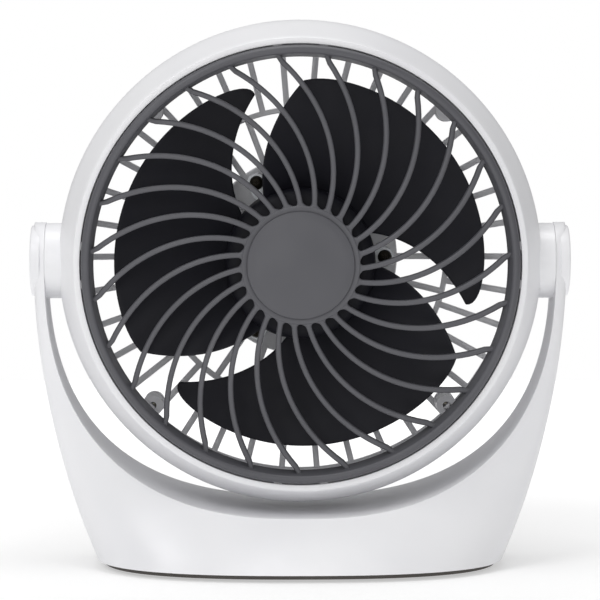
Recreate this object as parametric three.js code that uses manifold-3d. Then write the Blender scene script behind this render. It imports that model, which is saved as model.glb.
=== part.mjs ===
// A desk fan: a round head that tilts between the two arms of a U-shaped base.
// Millimetres, +Z up. The air blows out of the front, towards -Y, and +X is to the right seen from there.
// The origin is on the resting surface, under the middle of the base.
import * as THREE from "three";
import { mergeVertices } from "three/addons/utils/BufferGeometryUtils.js";
import Module from "manifold-3d";

const wasm = await Module();
wasm.setup();

// ---- Driving dimensions ------------------------------------------------------------------

const GAP = 0.3; // between two pieces that are fastened or fitted together
const RUNNING_GAP = 0.4; // between a fixed piece and one that turns against it
const SMALL_SIDES = 12; // sides of a small round
const SCREW_SIDES = 8;
const MEDIUM_SIDES = 20; // motor, pivots, knob, hub and centre cap
const LARGE_SIDES = 44; // drum, grilles and what fits in them

// Tilt axis
const PIVOT_BOSS_R = 14.65;
const PIVOT_BOSS_LENGTH = 5;
const PIVOT_BOLT_R = 2;
const PIVOT_BOLT_HEAD = { radius: 4.5, height: 1.7 };
const PIVOT_BOLT_REACH = 9; // into the head, from the boss's end
const INSERT_R = 4;
const INSERT_LENGTH = 7;
const WASHER_R = 9;
const WASHER_THICKNESS = 1.2;
const INNER_BOSS_WALL = 2.2;
const PIVOT_CAP_R = 13.8;
const PIVOT_CAP_THICKNESS = 1;
const CAP_RIDGE = { inner: 8.3, width: 1.4, height: 1.1 };

// Drum: the white ring that holds both grilles
const DRUM_WALL = 2.2;
const DRUM_FRONT_Y = -29;
const DRUM_REAR_Y = 26;
const DRUM_LIP = 2.4; // width of the rounded front lip
const DRUM_BULGE = 6.9; // how far the drum spreads from its lip to its widest, on the tilt axis
const DRUM_REAR_DRAFT = 5.2; // how far the drum closes in towards the back
const SHELF_THICKNESS = 2; // inner shelf that the front grille sits on
const SHELF_WIDTH = 4.5;

// Front grille
const GRILLE_R = 84;
const GRILLE_RING_WIDTH = 4.6;
const GRILLE_RING_DEPTH = 8.5;
const GRILLE_FRONT_Y = -31;
const SPOKES = 27;
const SPOKE_WIDTH = 2.1;
const SPOKE_DEPTH = 3.4;
const SPOKE_SWEEP = 32.5; // degrees, anticlockwise on the way out
const SPOKE_CURVE = 1.16;
const SPOKE_START = 7.05; // degrees clockwise from the top, at the rim
const SPOKE_FRONT_Y = -28.8;
const SPOKE_SET_BACK = 1.2; // how far the spokes fall back towards the rim
const CAP_SEAT_R = 20.8; // inside of the seat that holds the centre cap
const CAP_SEAT_WALL = 1.9;
const CAP_SEAT_FLOOR = 1.3;
const CENTRE_CAP_THICKNESS = 1.6;
const CENTRE_CAP_DOME = 0.8;
const HOOKS = 4;
const HOOK = { width: 8, thickness: 1.6, length: 3.5 };

// Impeller
const BLADES = 3;
const TIP_CLEARANCE = 7.4; // from the blade tips to the inside of the front grille's ring
const BLADE_THICKNESS = 1.6;
const BLADE_SET_BACK = 2.5; // from the hub's front to the blades
const BLADE_DEPTH_ROOT = 20.5;
const BLADE_DEPTH_TIP = 17;
const BLADE_TWIST = 1.35; // above 1 the trailing edge is the steeper one
const TRAILING_EDGE = { root: -30, sweep: 0.733 }; // degrees at the hub, degrees per mm outward
const LEADING_EDGE = { root: 67.5, sweep: 0.96 };
const TIP_ROUNDING = 3;
const TIP_SQUARENESS = 12; // a higher value keeps the rounding nearer the corners
const HUB_CLEARANCE = 6; // round the motor case
const HUB_WALL = 2;
const HUB_DEPTH = 24.5;
const NUT_CLEARANCE = 1.2; // from the front grille to the hub nut
const HUB_BOSS_R = 4.5;
const HUB_BOSS_LENGTH = 4;

// Motor
const SHAFT_R = 1.5;
const MOTOR_R = 21;
const MOTOR_WALL = 1.2;
const MOTOR_LENGTH = 36.4;
const MOTOR_TO_HUB = 3.5; // from the hub's boss to the motor case
const BUSH_R = 4;
const BUSH_LENGTH = 5;
const ROTOR_R = 11.8;
const STATOR_WIDTH = 6.6;
const MOTOR_END_SPACE = 6; // from each end of the case to the windings
const MOUNT_THICKNESS = 2.4;
const MOUNT_LUG_R = 3.8;
const MOTOR_SCREWS = 3;
const MOTOR_SCREW_CLEARANCE = 5; // from the hub's rim to the screws' circle
const MOTOR_SCREW_FIRST = 90; // degrees clockwise from the top
const MOTOR_SCREW_LENGTH = 8;
const HUB_NUT = { radius: 3.2, height: 2.4 };

// Rear grille
const PLATE_THICKNESS = 2.6;
const SCREW_BOSS_R = 2.9;
const RIM_INSET = 2; // from the drum's back edge to the grille's rim
const RIM_WIDTH = 1.6;
const RIB_WIDTH = 2.1;
const RIB_DEPTH = 3.2;
const MIDDLE_RING_SPACE = 19.6; // from the motor plate out to the middle ring
const OUTER_RIBS = 38;
const INNER_RIBS = 26;
const RIM_SCREWS = 4;
const RIM_SCREW_FIRST = 45;
const RIM_SCREW_LENGTH = 10;
const RIM_BOSS_R = 4;

// Control housing on the back
const HOUSING_WALL = 1.8;
const HOUSING_DEPTH = 14;
const HOUSING_SCREW_X = 25;
const HOUSING_SCREW_LENGTH = 15;
const KNOB_R = 12.5;
const KNOB_HEIGHT = 7.3;
const KNOB_GRIP = { width: 5, height: 4.6 };
const KNOB_SKIRT = 3;
const SPINDLE_R = 3;
const SPINDLE_COVER = 2; // knob left over the spindle's end
const SWITCH = { width: 20, height: 20, depth: 6 };
const SOCKET_Z = -24; // below the head's axis
const SOCKET = { width: 9, height: 3.4, wall: 0.5, depth: 7 };
const SOCKET_TONGUE = { width: 6.2, thickness: 0.85, setBack: 1 };
const BOARD = { width: 22, height: 14, thickness: 1.6 };

// Base
const ARM_THICKNESS = 4.4;
const ARM_HALF_DEPTH = 15;
const FOOT_HALF_WIDTH = 79.4;
const BASE_HALF_DEPTH = 50;
const BASE_FLARE = 3.6; // how late the front and the back spread on the way down
const BASE_SQUARENESS = { foot: 2.5, arm: 10.5, change: 1.2 };
const BASE_SIDES = 36;
const ARM_TOP_STEPS = [22, 45, 65, 84]; // degrees up the round top of an arm
const CRADLE_FLOOR = 22; // the cradle's lowest point above the surface
const CRADLE_CLEARANCE = 3.3; // from the drum down to the cradle
const CRADLE_SQUARENESS = 2.5;
const SHELL_WALL = 2.4;
const SHELL_BOTTOM = 2.9;
const CAVITY_DROP = 45; // from the tilt axis down to where the arms become solid
const BOTTOM_PLATE = { bottom: 1, thickness: 3 };
const FOOT = { radius: 6, height: 2, insetX: 34.4, insetY: 20 };
const BASE_SCREW = { insetX: 21.4, insetY: 26, length: 14 };
const BASE_BOSS_R = 3.8;
const BALLAST = { insetX: 37.4, insetY: 30, thickness: 6 };
const BALLAST_POST = { inset: 12, radius: 3.4 };
const BALLAST_SCREW_LENGTH = 6;
const SCREW = { shank: 1.5, head: 2.8, headHeight: 1.8 };

// ---- Sizes that follow -------------------------------------------------------------------

const grilleSeatR = GRILLE_R + GAP + 0.1;
const drumR = grilleSeatR + DRUM_LIP + DRUM_BULGE;
const bossEndX = drumR + PIVOT_BOSS_LENGTH;
const armInnerX = bossEndX + GAP;
const armOuterX = armInnerX + ARM_THICKNESS;
const cradleDrop = drumR + CRADLE_CLEARANCE;
const pivotHeight = CRADLE_FLOOR + cradleDrop;
const capRidgeOuterR = CAP_RIDGE.inner + CAP_RIDGE.width;
const insertStartX = bossEndX - WASHER_THICKNESS - GAP - INSERT_LENGTH;
const boltHeadX = armOuterX - GAP - PIVOT_BOLT_HEAD.height;
const shelfFrontY = GRILLE_FRONT_Y + GRILLE_RING_DEPTH + GAP;
const ringInnerR = GRILLE_R - GRILLE_RING_WIDTH;
const seatOuterR = CAP_SEAT_R + CAP_SEAT_WALL;
const hubFrontY = SPOKE_FRONT_Y + SPOKE_DEPTH + NUT_CLEARANCE + HUB_NUT.height + GAP;
const hubR = MOTOR_R + HUB_CLEARANCE + HUB_WALL;
const bladeTipR = ringInnerR - TIP_CLEARANCE;
const motorFrontY = hubFrontY + HUB_BOSS_LENGTH + MOTOR_TO_HUB;
const motorRearY = motorFrontY + MOTOR_LENGTH;
const mountFrontY = motorRearY + GAP;
const plateFrontY = mountFrontY + MOUNT_THICKNESS + GAP;
const motorScrewCircle = hubR + MOTOR_SCREW_CLEARANCE;
const plateR = motorScrewCircle + SCREW_BOSS_R + GAP + HOUSING_WALL;
const middleRingR = plateR + MIDDLE_RING_SPACE;
const plateRearY = plateFrontY + PLATE_THICKNESS;
const drumRearR = drumR - DRUM_REAR_DRAFT;
const rimY = DRUM_REAR_Y - RIM_INSET;
const rimOuterR = drumRearR - DRUM_WALL - GAP;
const rimScrewCircle = rimOuterR - RIM_BOSS_R;
const rimFrontY = rimY - RIB_DEPTH;
const housingFrontY = plateRearY + GAP;
const housingRearY = housingFrontY + HOUSING_DEPTH;
const knobRearY = housingRearY + RUNNING_GAP + KNOB_HEIGHT;
const spindleRearY = knobRearY - SPINDLE_COVER;
const housingInnerR = plateR - HOUSING_WALL;
const plateTopZ = BOTTOM_PLATE.bottom + BOTTOM_PLATE.thickness;
const footPlace = [FOOT_HALF_WIDTH - FOOT.insetX, BASE_HALF_DEPTH - FOOT.insetY];
const screwPlace = [FOOT_HALF_WIDTH - BASE_SCREW.insetX, BASE_HALF_DEPTH - BASE_SCREW.insetY];
const ballastHalf = [FOOT_HALF_WIDTH - BALLAST.insetX, BASE_HALF_DEPTH - BALLAST.insetY];
const postX = ballastHalf[0] - BALLAST_POST.inset;
const hole = SCREW.shank + GAP;

// ---- Helpers -----------------------------------------------------------------------------

const ALONG = {
  back: new THREE.Vector3(0, 1, 0),
  front: new THREE.Vector3(0, -1, 0),
  right: new THREE.Vector3(1, 0, 0),
  left: new THREE.Vector3(-1, 0, 0),
  up: new THREE.Vector3(0, 0, 1),
};

// A three.js geometry as a manifold-3d solid.
function solid(geometry) {
  const bare = geometry.index ? geometry.toNonIndexed() : geometry.clone();
  bare.deleteAttribute("normal");
  bare.deleteAttribute("uv");
  const merged = mergeVertices(bare, 1e-3);
  return new wasm.Manifold(new wasm.Mesh({
    numProp: 3,
    vertProperties: merged.attributes.position.array,
    triVerts: new Uint32Array(merged.index.array),
  }));
}

// An outline of [radius, distance along the axis] turned round an axis through "at".
function turned(outline, { along = ALONG.back, at = [0, 0, 0], sides = SMALL_SIDES } = {}) {
  const points = outline.map(([radius, distance]) => new THREE.Vector2(radius, distance));
  if (THREE.ShapeUtils.isClockWise(points)) points.reverse();
  const touchesAxis = points[0].x === 0 && points.at(-1).x === 0;
  if (!touchesAxis) points.push(points[0].clone());
  const geometry = new THREE.LatheGeometry(points, sides);
  geometry.applyQuaternion(new THREE.Quaternion().setFromUnitVectors(ALONG.back, along));
  return solid(geometry.translate(...at));
}

// A round bar between two distances along an axis.
const bar = (radius, from, to, options) =>
  turned([[0, from], [radius, from], [radius, to], [0, to]], options);

// A round sleeve between two distances along an axis.
const sleeve = (inner, outer, from, to, options) =>
  turned([[inner, from], [outer, from], [outer, to], [inner, to]], options);

// A box between two corners.
function block(low, high) {
  const size = high.map((value, i) => value - low[i]);
  const middle = high.map((value, i) => (value + low[i]) / 2);
  return solid(new THREE.BoxGeometry(...size).translate(...middle));
}

// A unit box, divided along its three sides, with every corner moved by a rule of three shares from 0 to 1.
function shapedBox(divisions, place) {
  const geometry = new THREE.BoxGeometry(1, 1, 1, ...divisions);
  const position = geometry.attributes.position;
  for (let i = 0; i < position.count; i++) {
    const shares = [position.getX(i), position.getY(i), position.getZ(i)].map((value) => value + 0.5);
    position.setXYZ(i, ...place(...shares));
  }
  return solid(geometry);
}

const joined = (solids) => wasm.Manifold.union(solids);
const cut = (body, tools) => body.subtract(joined(tools));
const clamp = (value, low, high) => Math.min(high, Math.max(low, value));
const mix = (from, to, share) => from + (to - from) * share;
const radians = THREE.MathUtils.degToRad;

// Values from one to another in equal steps, both ends included.
const steps = (from, to, count) => Array.from({ length: count + 1 }, (_, i) => mix(from, to, i / count));

// A point on the head's face plane, by radius and angle clockwise from the top.
function onFace(radius, degrees) {
  return [radius * Math.sin(radians(degrees)), radius * Math.cos(radians(degrees))];
}

// Angles of equally spaced copies.
const spread = (count, first = 0) => Array.from({ length: count }, (_, i) => first + (i * 360) / count);

// A pan-head screw: its shank points along the axis, and its head sits behind "at".
function screw(length, options, size = SCREW) {
  return turned([
    [0, -size.headHeight], [size.head * 0.7, -size.headHeight], [size.head, -size.headHeight / 2],
    [size.head, 0], [size.shank, 0], [size.shank, length - size.shank], [0, length],
  ], { sides: SCREW_SIDES, ...options });
}

// ---- Finishes ----------------------------------------------------------------------------

const finish = (color, roughness, metalness = 0) => ({ color, roughness, metalness });
const WHITE_ABS = finish(0xe9e9eb, 0.4);
const GREY_ABS = finish(0x5c5c62, 0.5);
const BLACK_ABS = finish(0x25252b, 0.42);
const DARK_PLASTIC = finish(0x4a4744, 0.6);
const RUBBER = finish(0x2c2c2c, 0.85);
const STEEL = finish(0xb4b6b9, 0.35, 1);
const BRASS = finish(0xb99b54, 0.4, 1);
const COPPER_WINDING = finish(0xa4623a, 0.5, 0.6);
const BOARD_GREEN = finish(0x2e6b45, 0.6);

function add(group, name, body, look) {
  const mesh = body.getMesh();
  const geometry = new THREE.BufferGeometry();
  geometry.setAttribute("position", new THREE.BufferAttribute(new Float32Array(mesh.vertProperties), 3));
  geometry.setIndex(new THREE.BufferAttribute(new Uint32Array(mesh.triVerts), 1));
  geometry.computeVertexNormals();
  const made = new THREE.Mesh(geometry, new THREE.MeshStandardMaterial(look));
  made.name = name;
  group.add(made);
}

// ---- Base --------------------------------------------------------------------------------

// How far down from the tilt axis a height is, from 0 to 1 at the foot of the shell.
const dropAt = (z) => clamp((pivotHeight - z) / (pivotHeight - SHELL_BOTTOM), 0, 1);
const baseHalfWidth = (z) => mix(armOuterX, FOOT_HALF_WIDTH, dropAt(z) ** 2);

function baseHalfDepth(z) {
  const above = clamp(z - pivotHeight, 0, ARM_HALF_DEPTH);
  if (above > 0) return Math.sqrt(ARM_HALF_DEPTH ** 2 - above ** 2);
  return mix(ARM_HALF_DEPTH, BASE_HALF_DEPTH, dropAt(z) ** BASE_FLARE);
}

// How far to push a point on the unit circle out to a rounded oblong: power 2 is the circle,
// and more is squarer.
function oblongScale(across, along, power) {
  const reach = Math.abs(across) ** power + Math.abs(along) ** power;
  return reach > 0 ? reach ** (-1 / power) : 0;
}

// A solid through level sections of the base, each a rounded oblong, drawn in by "inset".
function baseLoft(levels, inset) {
  const last = levels.length - 1;
  const geometry = new THREE.CylinderGeometry(1, 1, 1, BASE_SIDES, last).rotateX(Math.PI / 2);
  const position = geometry.attributes.position;
  for (let i = 0; i < position.count; i++) {
    const z = levels[Math.round((position.getZ(i) + 0.5) * last)];
    const [across, along] = [position.getX(i), position.getY(i)];
    const power = mix(BASE_SQUARENESS.foot, BASE_SQUARENESS.arm, (1 - dropAt(z)) ** BASE_SQUARENESS.change);
    const scale = oblongScale(across, along, power);
    position.setXYZ(
      i,
      (baseHalfWidth(z) - inset) * across * scale,
      (baseHalfDepth(z) - inset) * along * scale,
      z,
    );
  }
  return solid(geometry);
}

// The U-shaped space for the head, grown by "wall", cut right through from front to back.
function cradleSpace(wall) {
  const shape = new THREE.Shape();
  const halfWidth = armInnerX + wall;
  const drop = cradleDrop + wall;
  const above = pivotHeight + ARM_HALF_DEPTH + 1;
  shape.moveTo(-halfWidth, above);
  for (const angle of steps(Math.PI, 2 * Math.PI, 24)) {
    const [c, s] = [Math.cos(angle), Math.sin(angle)];
    const scale = oblongScale(c, s, CRADLE_SQUARENESS);
    shape.lineTo(halfWidth * c * scale, pivotHeight + drop * s * scale);
  }
  shape.lineTo(halfWidth, above);
  const depth = 2 * BASE_HALF_DEPTH + 2;
  const geometry = new THREE.ExtrudeGeometry(shape, { depth, bevelEnabled: false });
  return solid(geometry.rotateX(Math.PI / 2).translate(0, depth / 2, 0));
}

const sides = [["left", ALONG.left], ["right", ALONG.right]];
const corners = [
  ["front_left", -1, -1], ["front_right", 1, -1], ["rear_left", -1, 1], ["rear_right", 1, 1],
];

function baseShell() {
  const roundLevels = ARM_TOP_STEPS.map(
    (angle) => pivotHeight + ARM_HALF_DEPTH * Math.sin(radians(angle)),
  );
  const outside = baseLoft([...steps(SHELL_BOTTOM, pivotHeight, 9), ...roundLevels], 0);
  const cavityTop = pivotHeight - CAVITY_DROP;
  const cavity = baseLoft([SHELL_BOTTOM - 1, ...steps(SHELL_BOTTOM, cavityTop, 4)], SHELL_WALL)
    .subtract(cradleSpace(SHELL_WALL));
  const bosses = corners.map(([, x, y]) => bar(BASE_BOSS_R, plateTopZ + GAP, pivotHeight - cradleDrop / 2,
    { along: ALONG.up, at: [x * screwPlace[0], y * screwPlace[1], 0] }).intersect(outside));
  const pilots = corners.map(([, x, y]) => bar(hole, 0, plateTopZ + BASE_SCREW.length + 1,
    { along: ALONG.up, at: [x * screwPlace[0], y * screwPlace[1], 0], sides: SCREW_SIDES }));
  const pivots = sides.flatMap(([, along]) => {
    const at = [0, 0, pivotHeight];
    return [
      bar(PIVOT_BOSS_R + 1, 0, armInnerX, { along, at, sides: MEDIUM_SIDES }),
      bar(PIVOT_BOLT_R + RUNNING_GAP, armInnerX - 1, armOuterX + 1, { along, at }),
      bar(PIVOT_BOLT_HEAD.radius + RUNNING_GAP, boltHeadX - GAP, armOuterX + 1, { along, at }),
      sleeve(CAP_RIDGE.inner - GAP, capRidgeOuterR + GAP, armOuterX - CAP_RIDGE.height - GAP, armOuterX + 1,
        { along, at, sides: MEDIUM_SIDES }),
    ];
  });
  return cut(joined([outside.subtract(cavity), ...bosses]), [cradleSpace(0), ...pilots, ...pivots]);
}

function bottomPlate() {
  const plate = baseLoft([BOTTOM_PLATE.bottom, SHELL_BOTTOM, plateTopZ], SHELL_WALL + GAP);
  const postTopZ = plateTopZ + BALLAST.thickness;
  const posts = [-1, 1].map((side) => bar(BALLAST_POST.radius, plateTopZ - 1, postTopZ,
    { along: ALONG.up, at: [side * postX, 0, 0] }));
  const postHoles = [-1, 1].map((side) => bar(hole, postTopZ - BALLAST_SCREW_LENGTH - 1, postTopZ + 1,
    { along: ALONG.up, at: [side * postX, 0, 0], sides: SCREW_SIDES }));
  const pockets = corners.flatMap(([, x, y]) => [
    bar(FOOT.radius + GAP, 0, FOOT.height + GAP,
      { along: ALONG.up, at: [x * footPlace[0], y * footPlace[1], 0] }),
    bar(hole, 0, plateTopZ + 1,
      { along: ALONG.up, at: [x * screwPlace[0], y * screwPlace[1], 0], sides: SCREW_SIDES }),
    bar(SCREW.head + GAP, 0, BOTTOM_PLATE.bottom + SCREW.headHeight + GAP,
      { along: ALONG.up, at: [x * screwPlace[0], y * screwPlace[1], 0] }),
  ]);
  return cut(joined([plate, ...posts]), [...pockets, ...postHoles]);
}

function ballastPlate() {
  const bottom = plateTopZ + GAP;
  const holes = [-1, 1].map((side) => bar(BALLAST_POST.radius + GAP, 0, bottom + BALLAST.thickness + 1,
    { along: ALONG.up, at: [side * postX, 0, 0] }));
  const low = [-ballastHalf[0], -ballastHalf[1], bottom];
  return cut(block(low, [-low[0], -low[1], bottom + BALLAST.thickness]), holes);
}

function pivotCap(along) {
  const foot = armOuterX + GAP;
  const top = foot + PIVOT_CAP_THICKNESS;
  return turned([
    [0, foot], [CAP_RIDGE.inner, foot], [CAP_RIDGE.inner, foot - CAP_RIDGE.height],
    [capRidgeOuterR, foot - CAP_RIDGE.height], [capRidgeOuterR, foot], [PIVOT_CAP_R, foot],
    [PIVOT_CAP_R, top - PIVOT_CAP_THICKNESS / 2],
    [PIVOT_CAP_R - PIVOT_CAP_THICKNESS / 2, top], [0, top],
  ], { along, at: [0, 0, pivotHeight], sides: MEDIUM_SIDES });
}

function addBase(group) {
  add(group, "base_shell", baseShell(), WHITE_ABS);
  add(group, "bottom_plate", bottomPlate(), DARK_PLASTIC);
  add(group, "ballast_plate", ballastPlate(), STEEL);
  for (const [name, x, y] of corners) {
    const foot = bar(FOOT.radius, 0, FOOT.height,
      { along: ALONG.up, at: [x * footPlace[0], y * footPlace[1], 0] });
    add(group, `foot_${name}`, foot, RUBBER);
    const at = [x * screwPlace[0], y * screwPlace[1], BOTTOM_PLATE.bottom + SCREW.headHeight];
    add(group, `base_screw_${name}`, screw(BASE_SCREW.length, { along: ALONG.up, at }), STEEL);
  }
  for (const [name, along] of sides) {
    const at = [along.x * postX, 0, plateTopZ + GAP + BALLAST.thickness + GAP];
    const down = new THREE.Vector3(0, 0, -1);
    const size = { ...SCREW, head: BALLAST_POST.radius + 1.6 };
    add(group, `ballast_screw_${name}`, screw(BALLAST_SCREW_LENGTH, { along: down, at }, size), STEEL);
    add(group, `pivot_cap_${name}`, pivotCap(along), WHITE_ABS);
  }
}

// ---- Head: everything below is placed about the tilt axis ----------------------------------

const hookAngles = spread(HOOKS);
const rimAngles = spread(RIM_SCREWS, RIM_SCREW_FIRST);
const rimPlaces = rimAngles.map((angle) => onFace(rimScrewCircle, angle));
const motorAngles = spread(MOTOR_SCREWS, MOTOR_SCREW_FIRST);
const motorPlaces = motorAngles.map((angle) => onFace(motorScrewCircle, angle));

// The drum's outer radius at a distance back from the tilt axis.
function drumRadius(y) {
  if (y >= 0) return mix(drumR, drumRearR, (y / DRUM_REAR_Y) ** 2);
  const frontR = grilleSeatR + DRUM_LIP;
  return mix(drumR, frontR, (y / DRUM_FRONT_Y) ** 2.2);
}

function drum() {
  const shelfInnerR = grilleSeatR - SHELF_WIDTH;
  const shelfRearY = shelfFrontY + SHELF_THICKNESS;
  const outer = [0.96, 0.7, 0.35].map((share) => DRUM_FRONT_Y * share).concat(
    [0, 0.5, 1].map((share) => DRUM_REAR_Y * share)).map((y) => [drumRadius(y), y]);
  const inner = [1, 0.5, 0].map((share) => DRUM_REAR_Y * share).concat([DRUM_FRONT_Y * 0.4]).map((y) =>
    [drumRadius(y) - DRUM_WALL, y]);
  const ring = turned([
    [grilleSeatR + DRUM_LIP / 2, DRUM_FRONT_Y], ...outer, ...inner,
    [grilleSeatR, shelfRearY], [shelfInnerR, shelfRearY], [shelfInnerR, shelfFrontY],
    [grilleSeatR, shelfFrontY], [grilleSeatR, DRUM_FRONT_Y + DRUM_LIP / 3],
  ], { sides: LARGE_SIDES });
  const boltSpace = bar(drumR - DRUM_WALL / 2, -PIVOT_BOSS_R, PIVOT_BOSS_R, { sides: LARGE_SIDES });
  const bosses = sides.flatMap(([, along]) => [
    bar(PIVOT_BOSS_R, drumR - PIVOT_BOSS_R, bossEndX, { along, sides: MEDIUM_SIDES }).subtract(boltSpace),
    bar(INSERT_R + GAP + INNER_BOSS_WALL, insertStartX - GAP, drumR, { along }),
  ]);
  const bores = sides.flatMap(([, along]) => [
    bar(INSERT_R + GAP, insertStartX - 2 * GAP, bossEndX + 1, { along }),
    bar(WASHER_R + GAP, bossEndX - WASHER_THICKNESS - GAP, bossEndX + 1, { along }),
  ]);
  const posts = rimAngles.flatMap((angle) => {
    const [x, z] = onFace(rimScrewCircle, angle);
    const start = rimFrontY - GAP - RIM_SCREW_LENGTH - 1;
    const end = rimFrontY - GAP;
    const webHeight = drumRadius(start) - 1 - rimScrewCircle;
    const web = block([-RIM_BOSS_R / 2, start, 0], [RIM_BOSS_R / 2, end, webHeight]);
    return [bar(RIM_BOSS_R, start, end, { at: [x, 0, z] }), web.rotate([0, angle, 0]).translate([x, 0, z])];
  });
  const outside = turned([[0, DRUM_FRONT_Y], ...outer, [0, DRUM_REAR_Y]], { sides: LARGE_SIDES });
  const pilots = rimPlaces.map(([x, z]) =>
    bar(hole, rimFrontY - RIM_SCREW_LENGTH - GAP, rimY, { at: [x, 0, z], sides: SCREW_SIDES }));
  const hookSlots = hookAngles.map((angle) => hookBlock(angle, GAP, 2));
  const body = joined([ring, ...bosses, joined(posts).intersect(outside)]);
  return cut(body, [...bores, ...pilots, ...hookSlots]);
}

// A hook of the front grille, which passes through its slot in the drum's shelf.
function hookBlock(angle, gap, extra) {
  const half = HOOK.width / 2 + gap;
  const outer = ringInnerR + HOOK.thickness + gap;
  const made = block([-half, shelfFrontY - GAP - 1, ringInnerR - gap],
    [half, shelfFrontY - GAP + HOOK.length + extra, outer]);
  return made.rotate([0, angle, 0]);
}

function frontGrille() {
  const rearY = GRILLE_FRONT_Y + GRILLE_RING_DEPTH;
  const crown = GRILLE_RING_WIDTH / 2;
  const arc = steps(0, Math.PI, 4).map((angle) => {
    return [GRILLE_R - crown - crown * Math.cos(angle), GRILLE_FRONT_Y + crown - crown * Math.sin(angle)];
  });
  const rim = turned([[ringInnerR, rearY], ...arc, [GRILLE_R, rearY]], { sides: LARGE_SIDES });
  const seat = turned([
    [0, SPOKE_FRONT_Y + SPOKE_DEPTH], [0, SPOKE_FRONT_Y + SPOKE_DEPTH - CAP_SEAT_FLOOR],
    [CAP_SEAT_R, SPOKE_FRONT_Y + SPOKE_DEPTH - CAP_SEAT_FLOOR], [CAP_SEAT_R, SPOKE_FRONT_Y - GAP],
    [seatOuterR, SPOKE_FRONT_Y - GAP], [seatOuterR, SPOKE_FRONT_Y + SPOKE_DEPTH],
  ], { sides: MEDIUM_SIDES });
  const innerR = CAP_SEAT_R + CAP_SEAT_WALL / 2;
  const outerR = ringInnerR + 1;
  const spokes = spread(SPOKES, SPOKE_START).map((angle) => shapedBox([1, 1, 5], (across, deep, out) => {
    const radius = mix(innerR, outerR, out);
    const share = clamp((radius - seatOuterR) / (ringInnerR - seatOuterR), 0, 1);
    const [x, z] = onFace(radius, angle + SPOKE_SWEEP * (1 - share ** SPOKE_CURVE));
    const step = 0.5;
    const ahead = clamp((radius + step - seatOuterR) / (ringInnerR - seatOuterR), 0, 1);
    const [nextX, nextZ] = onFace(radius + step, angle + SPOKE_SWEEP * (1 - ahead ** SPOKE_CURVE));
    const length = Math.hypot(nextX - x, nextZ - z);
    const offset = (across - 0.5) * SPOKE_WIDTH;
    const y = SPOKE_FRONT_Y + SPOKE_SET_BACK * share ** 2 + deep * SPOKE_DEPTH;
    return [x + (offset * (nextZ - z)) / length, y, z - (offset * (nextX - x)) / length];
  }));
  return joined([rim, seat, ...spokes, ...hookAngles.map((angle) => hookBlock(angle, 0, 0))]);
}

function centreCap() {
  const rear = SPOKE_FRONT_Y + SPOKE_DEPTH - CAP_SEAT_FLOOR - GAP;
  const front = SPOKE_FRONT_Y - GAP - CENTRE_CAP_THICKNESS / 2;
  const radius = CAP_SEAT_R - GAP;
  return turned([
    [0, rear], [radius, rear], [radius, front + 0.6], [radius - 0.6, front],
    [radius * 0.6, front - CENTRE_CAP_DOME * 0.64], [0, front - CENTRE_CAP_DOME],
  ], { sides: MEDIUM_SIDES });
}

function rearGrille() {
  const rearAt = (radius) => mix(plateRearY, rimY, ((radius - plateR) / (rimOuterR - plateR)) ** 2);
  const rib = (from, to) => (angle) => shapedBox([1, 1, 1], (across, deep, out) => {
    const radius = mix(from, to, out);
    const y = rearAt(radius) - (1 - deep) * RIB_DEPTH;
    return [(across - 0.5) * RIB_WIDTH, y, radius];
  }).rotate([0, angle, 0]);
  const middleHalf = RIB_WIDTH / 2;
  const rimInnerR = rimOuterR - RIM_WIDTH;
  const rings = [
    sleeve(rimInnerR, rimOuterR, rimFrontY, rimY, { sides: LARGE_SIDES }),
    sleeve(middleRingR - middleHalf, middleRingR + middleHalf, rearAt(middleRingR) - RIB_DEPTH,
      rearAt(middleRingR), { sides: LARGE_SIDES }),
    bar(plateR, plateFrontY, plateRearY, { sides: LARGE_SIDES }),
  ];
  const outerRibs = spread(OUTER_RIBS, 180 / OUTER_RIBS).map(rib(middleRingR, rimInnerR + 1));
  const innerRibs = spread(INNER_RIBS, 180 / INNER_RIBS).map(rib(plateR - 1, middleRingR));
  const ears = rimPlaces.map(([x, z]) => bar(RIM_BOSS_R, rimFrontY, rimY, { at: [x, 0, z] }).intersect(
    bar(rimOuterR, rimFrontY, rimY, { sides: LARGE_SIDES })));
  const motorBossEnd = mountFrontY + MOTOR_SCREW_LENGTH + 1;
  const motorBosses = motorPlaces.map(([x, z]) =>
    bar(SCREW_BOSS_R, plateFrontY, motorBossEnd, { at: [x, 0, z] }));
  const postEnd = housingRearY - HOUSING_WALL - GAP;
  const housingPosts = [-1, 1].map((side) =>
    bar(SCREW_BOSS_R, plateFrontY, postEnd, { at: [side * HOUSING_SCREW_X, 0, 0] }));
  const holes = [
    ...rimPlaces.map(([x, z]) => bar(hole, 0, rimY + 1, { at: [x, 0, z], sides: SCREW_SIDES })),
    ...rimPlaces.map(([x, z]) => bar(SCREW.head + GAP, rimY, plateRearY, { at: [x, 0, z] })),
    ...motorPlaces.map(([x, z]) => bar(hole, 0, motorBossEnd + 1, { at: [x, 0, z], sides: SCREW_SIDES })),
    ...[-1, 1].map((side) => bar(hole, plateFrontY - 1, housingRearY,
      { at: [side * HOUSING_SCREW_X, 0, 0], sides: SCREW_SIDES })),
    bar(BUSH_R + 2, 0, plateRearY + 1),
  ];
  const bosses = [...ears, ...motorBosses, ...housingPosts];
  return cut(joined([...rings, ...outerRibs, ...innerRibs, ...bosses]), holes);
}

function motorCase() {
  const front = motorFrontY;
  return turned([
    [BUSH_R + GAP, front], [MOTOR_R - 1, front], [MOTOR_R, front + 1], [MOTOR_R, motorRearY],
    [MOTOR_R - MOTOR_WALL, motorRearY], [MOTOR_R - MOTOR_WALL, front + MOTOR_WALL],
    [BUSH_R + GAP, front + MOTOR_WALL],
  ], { sides: MEDIUM_SIDES });
}

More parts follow.
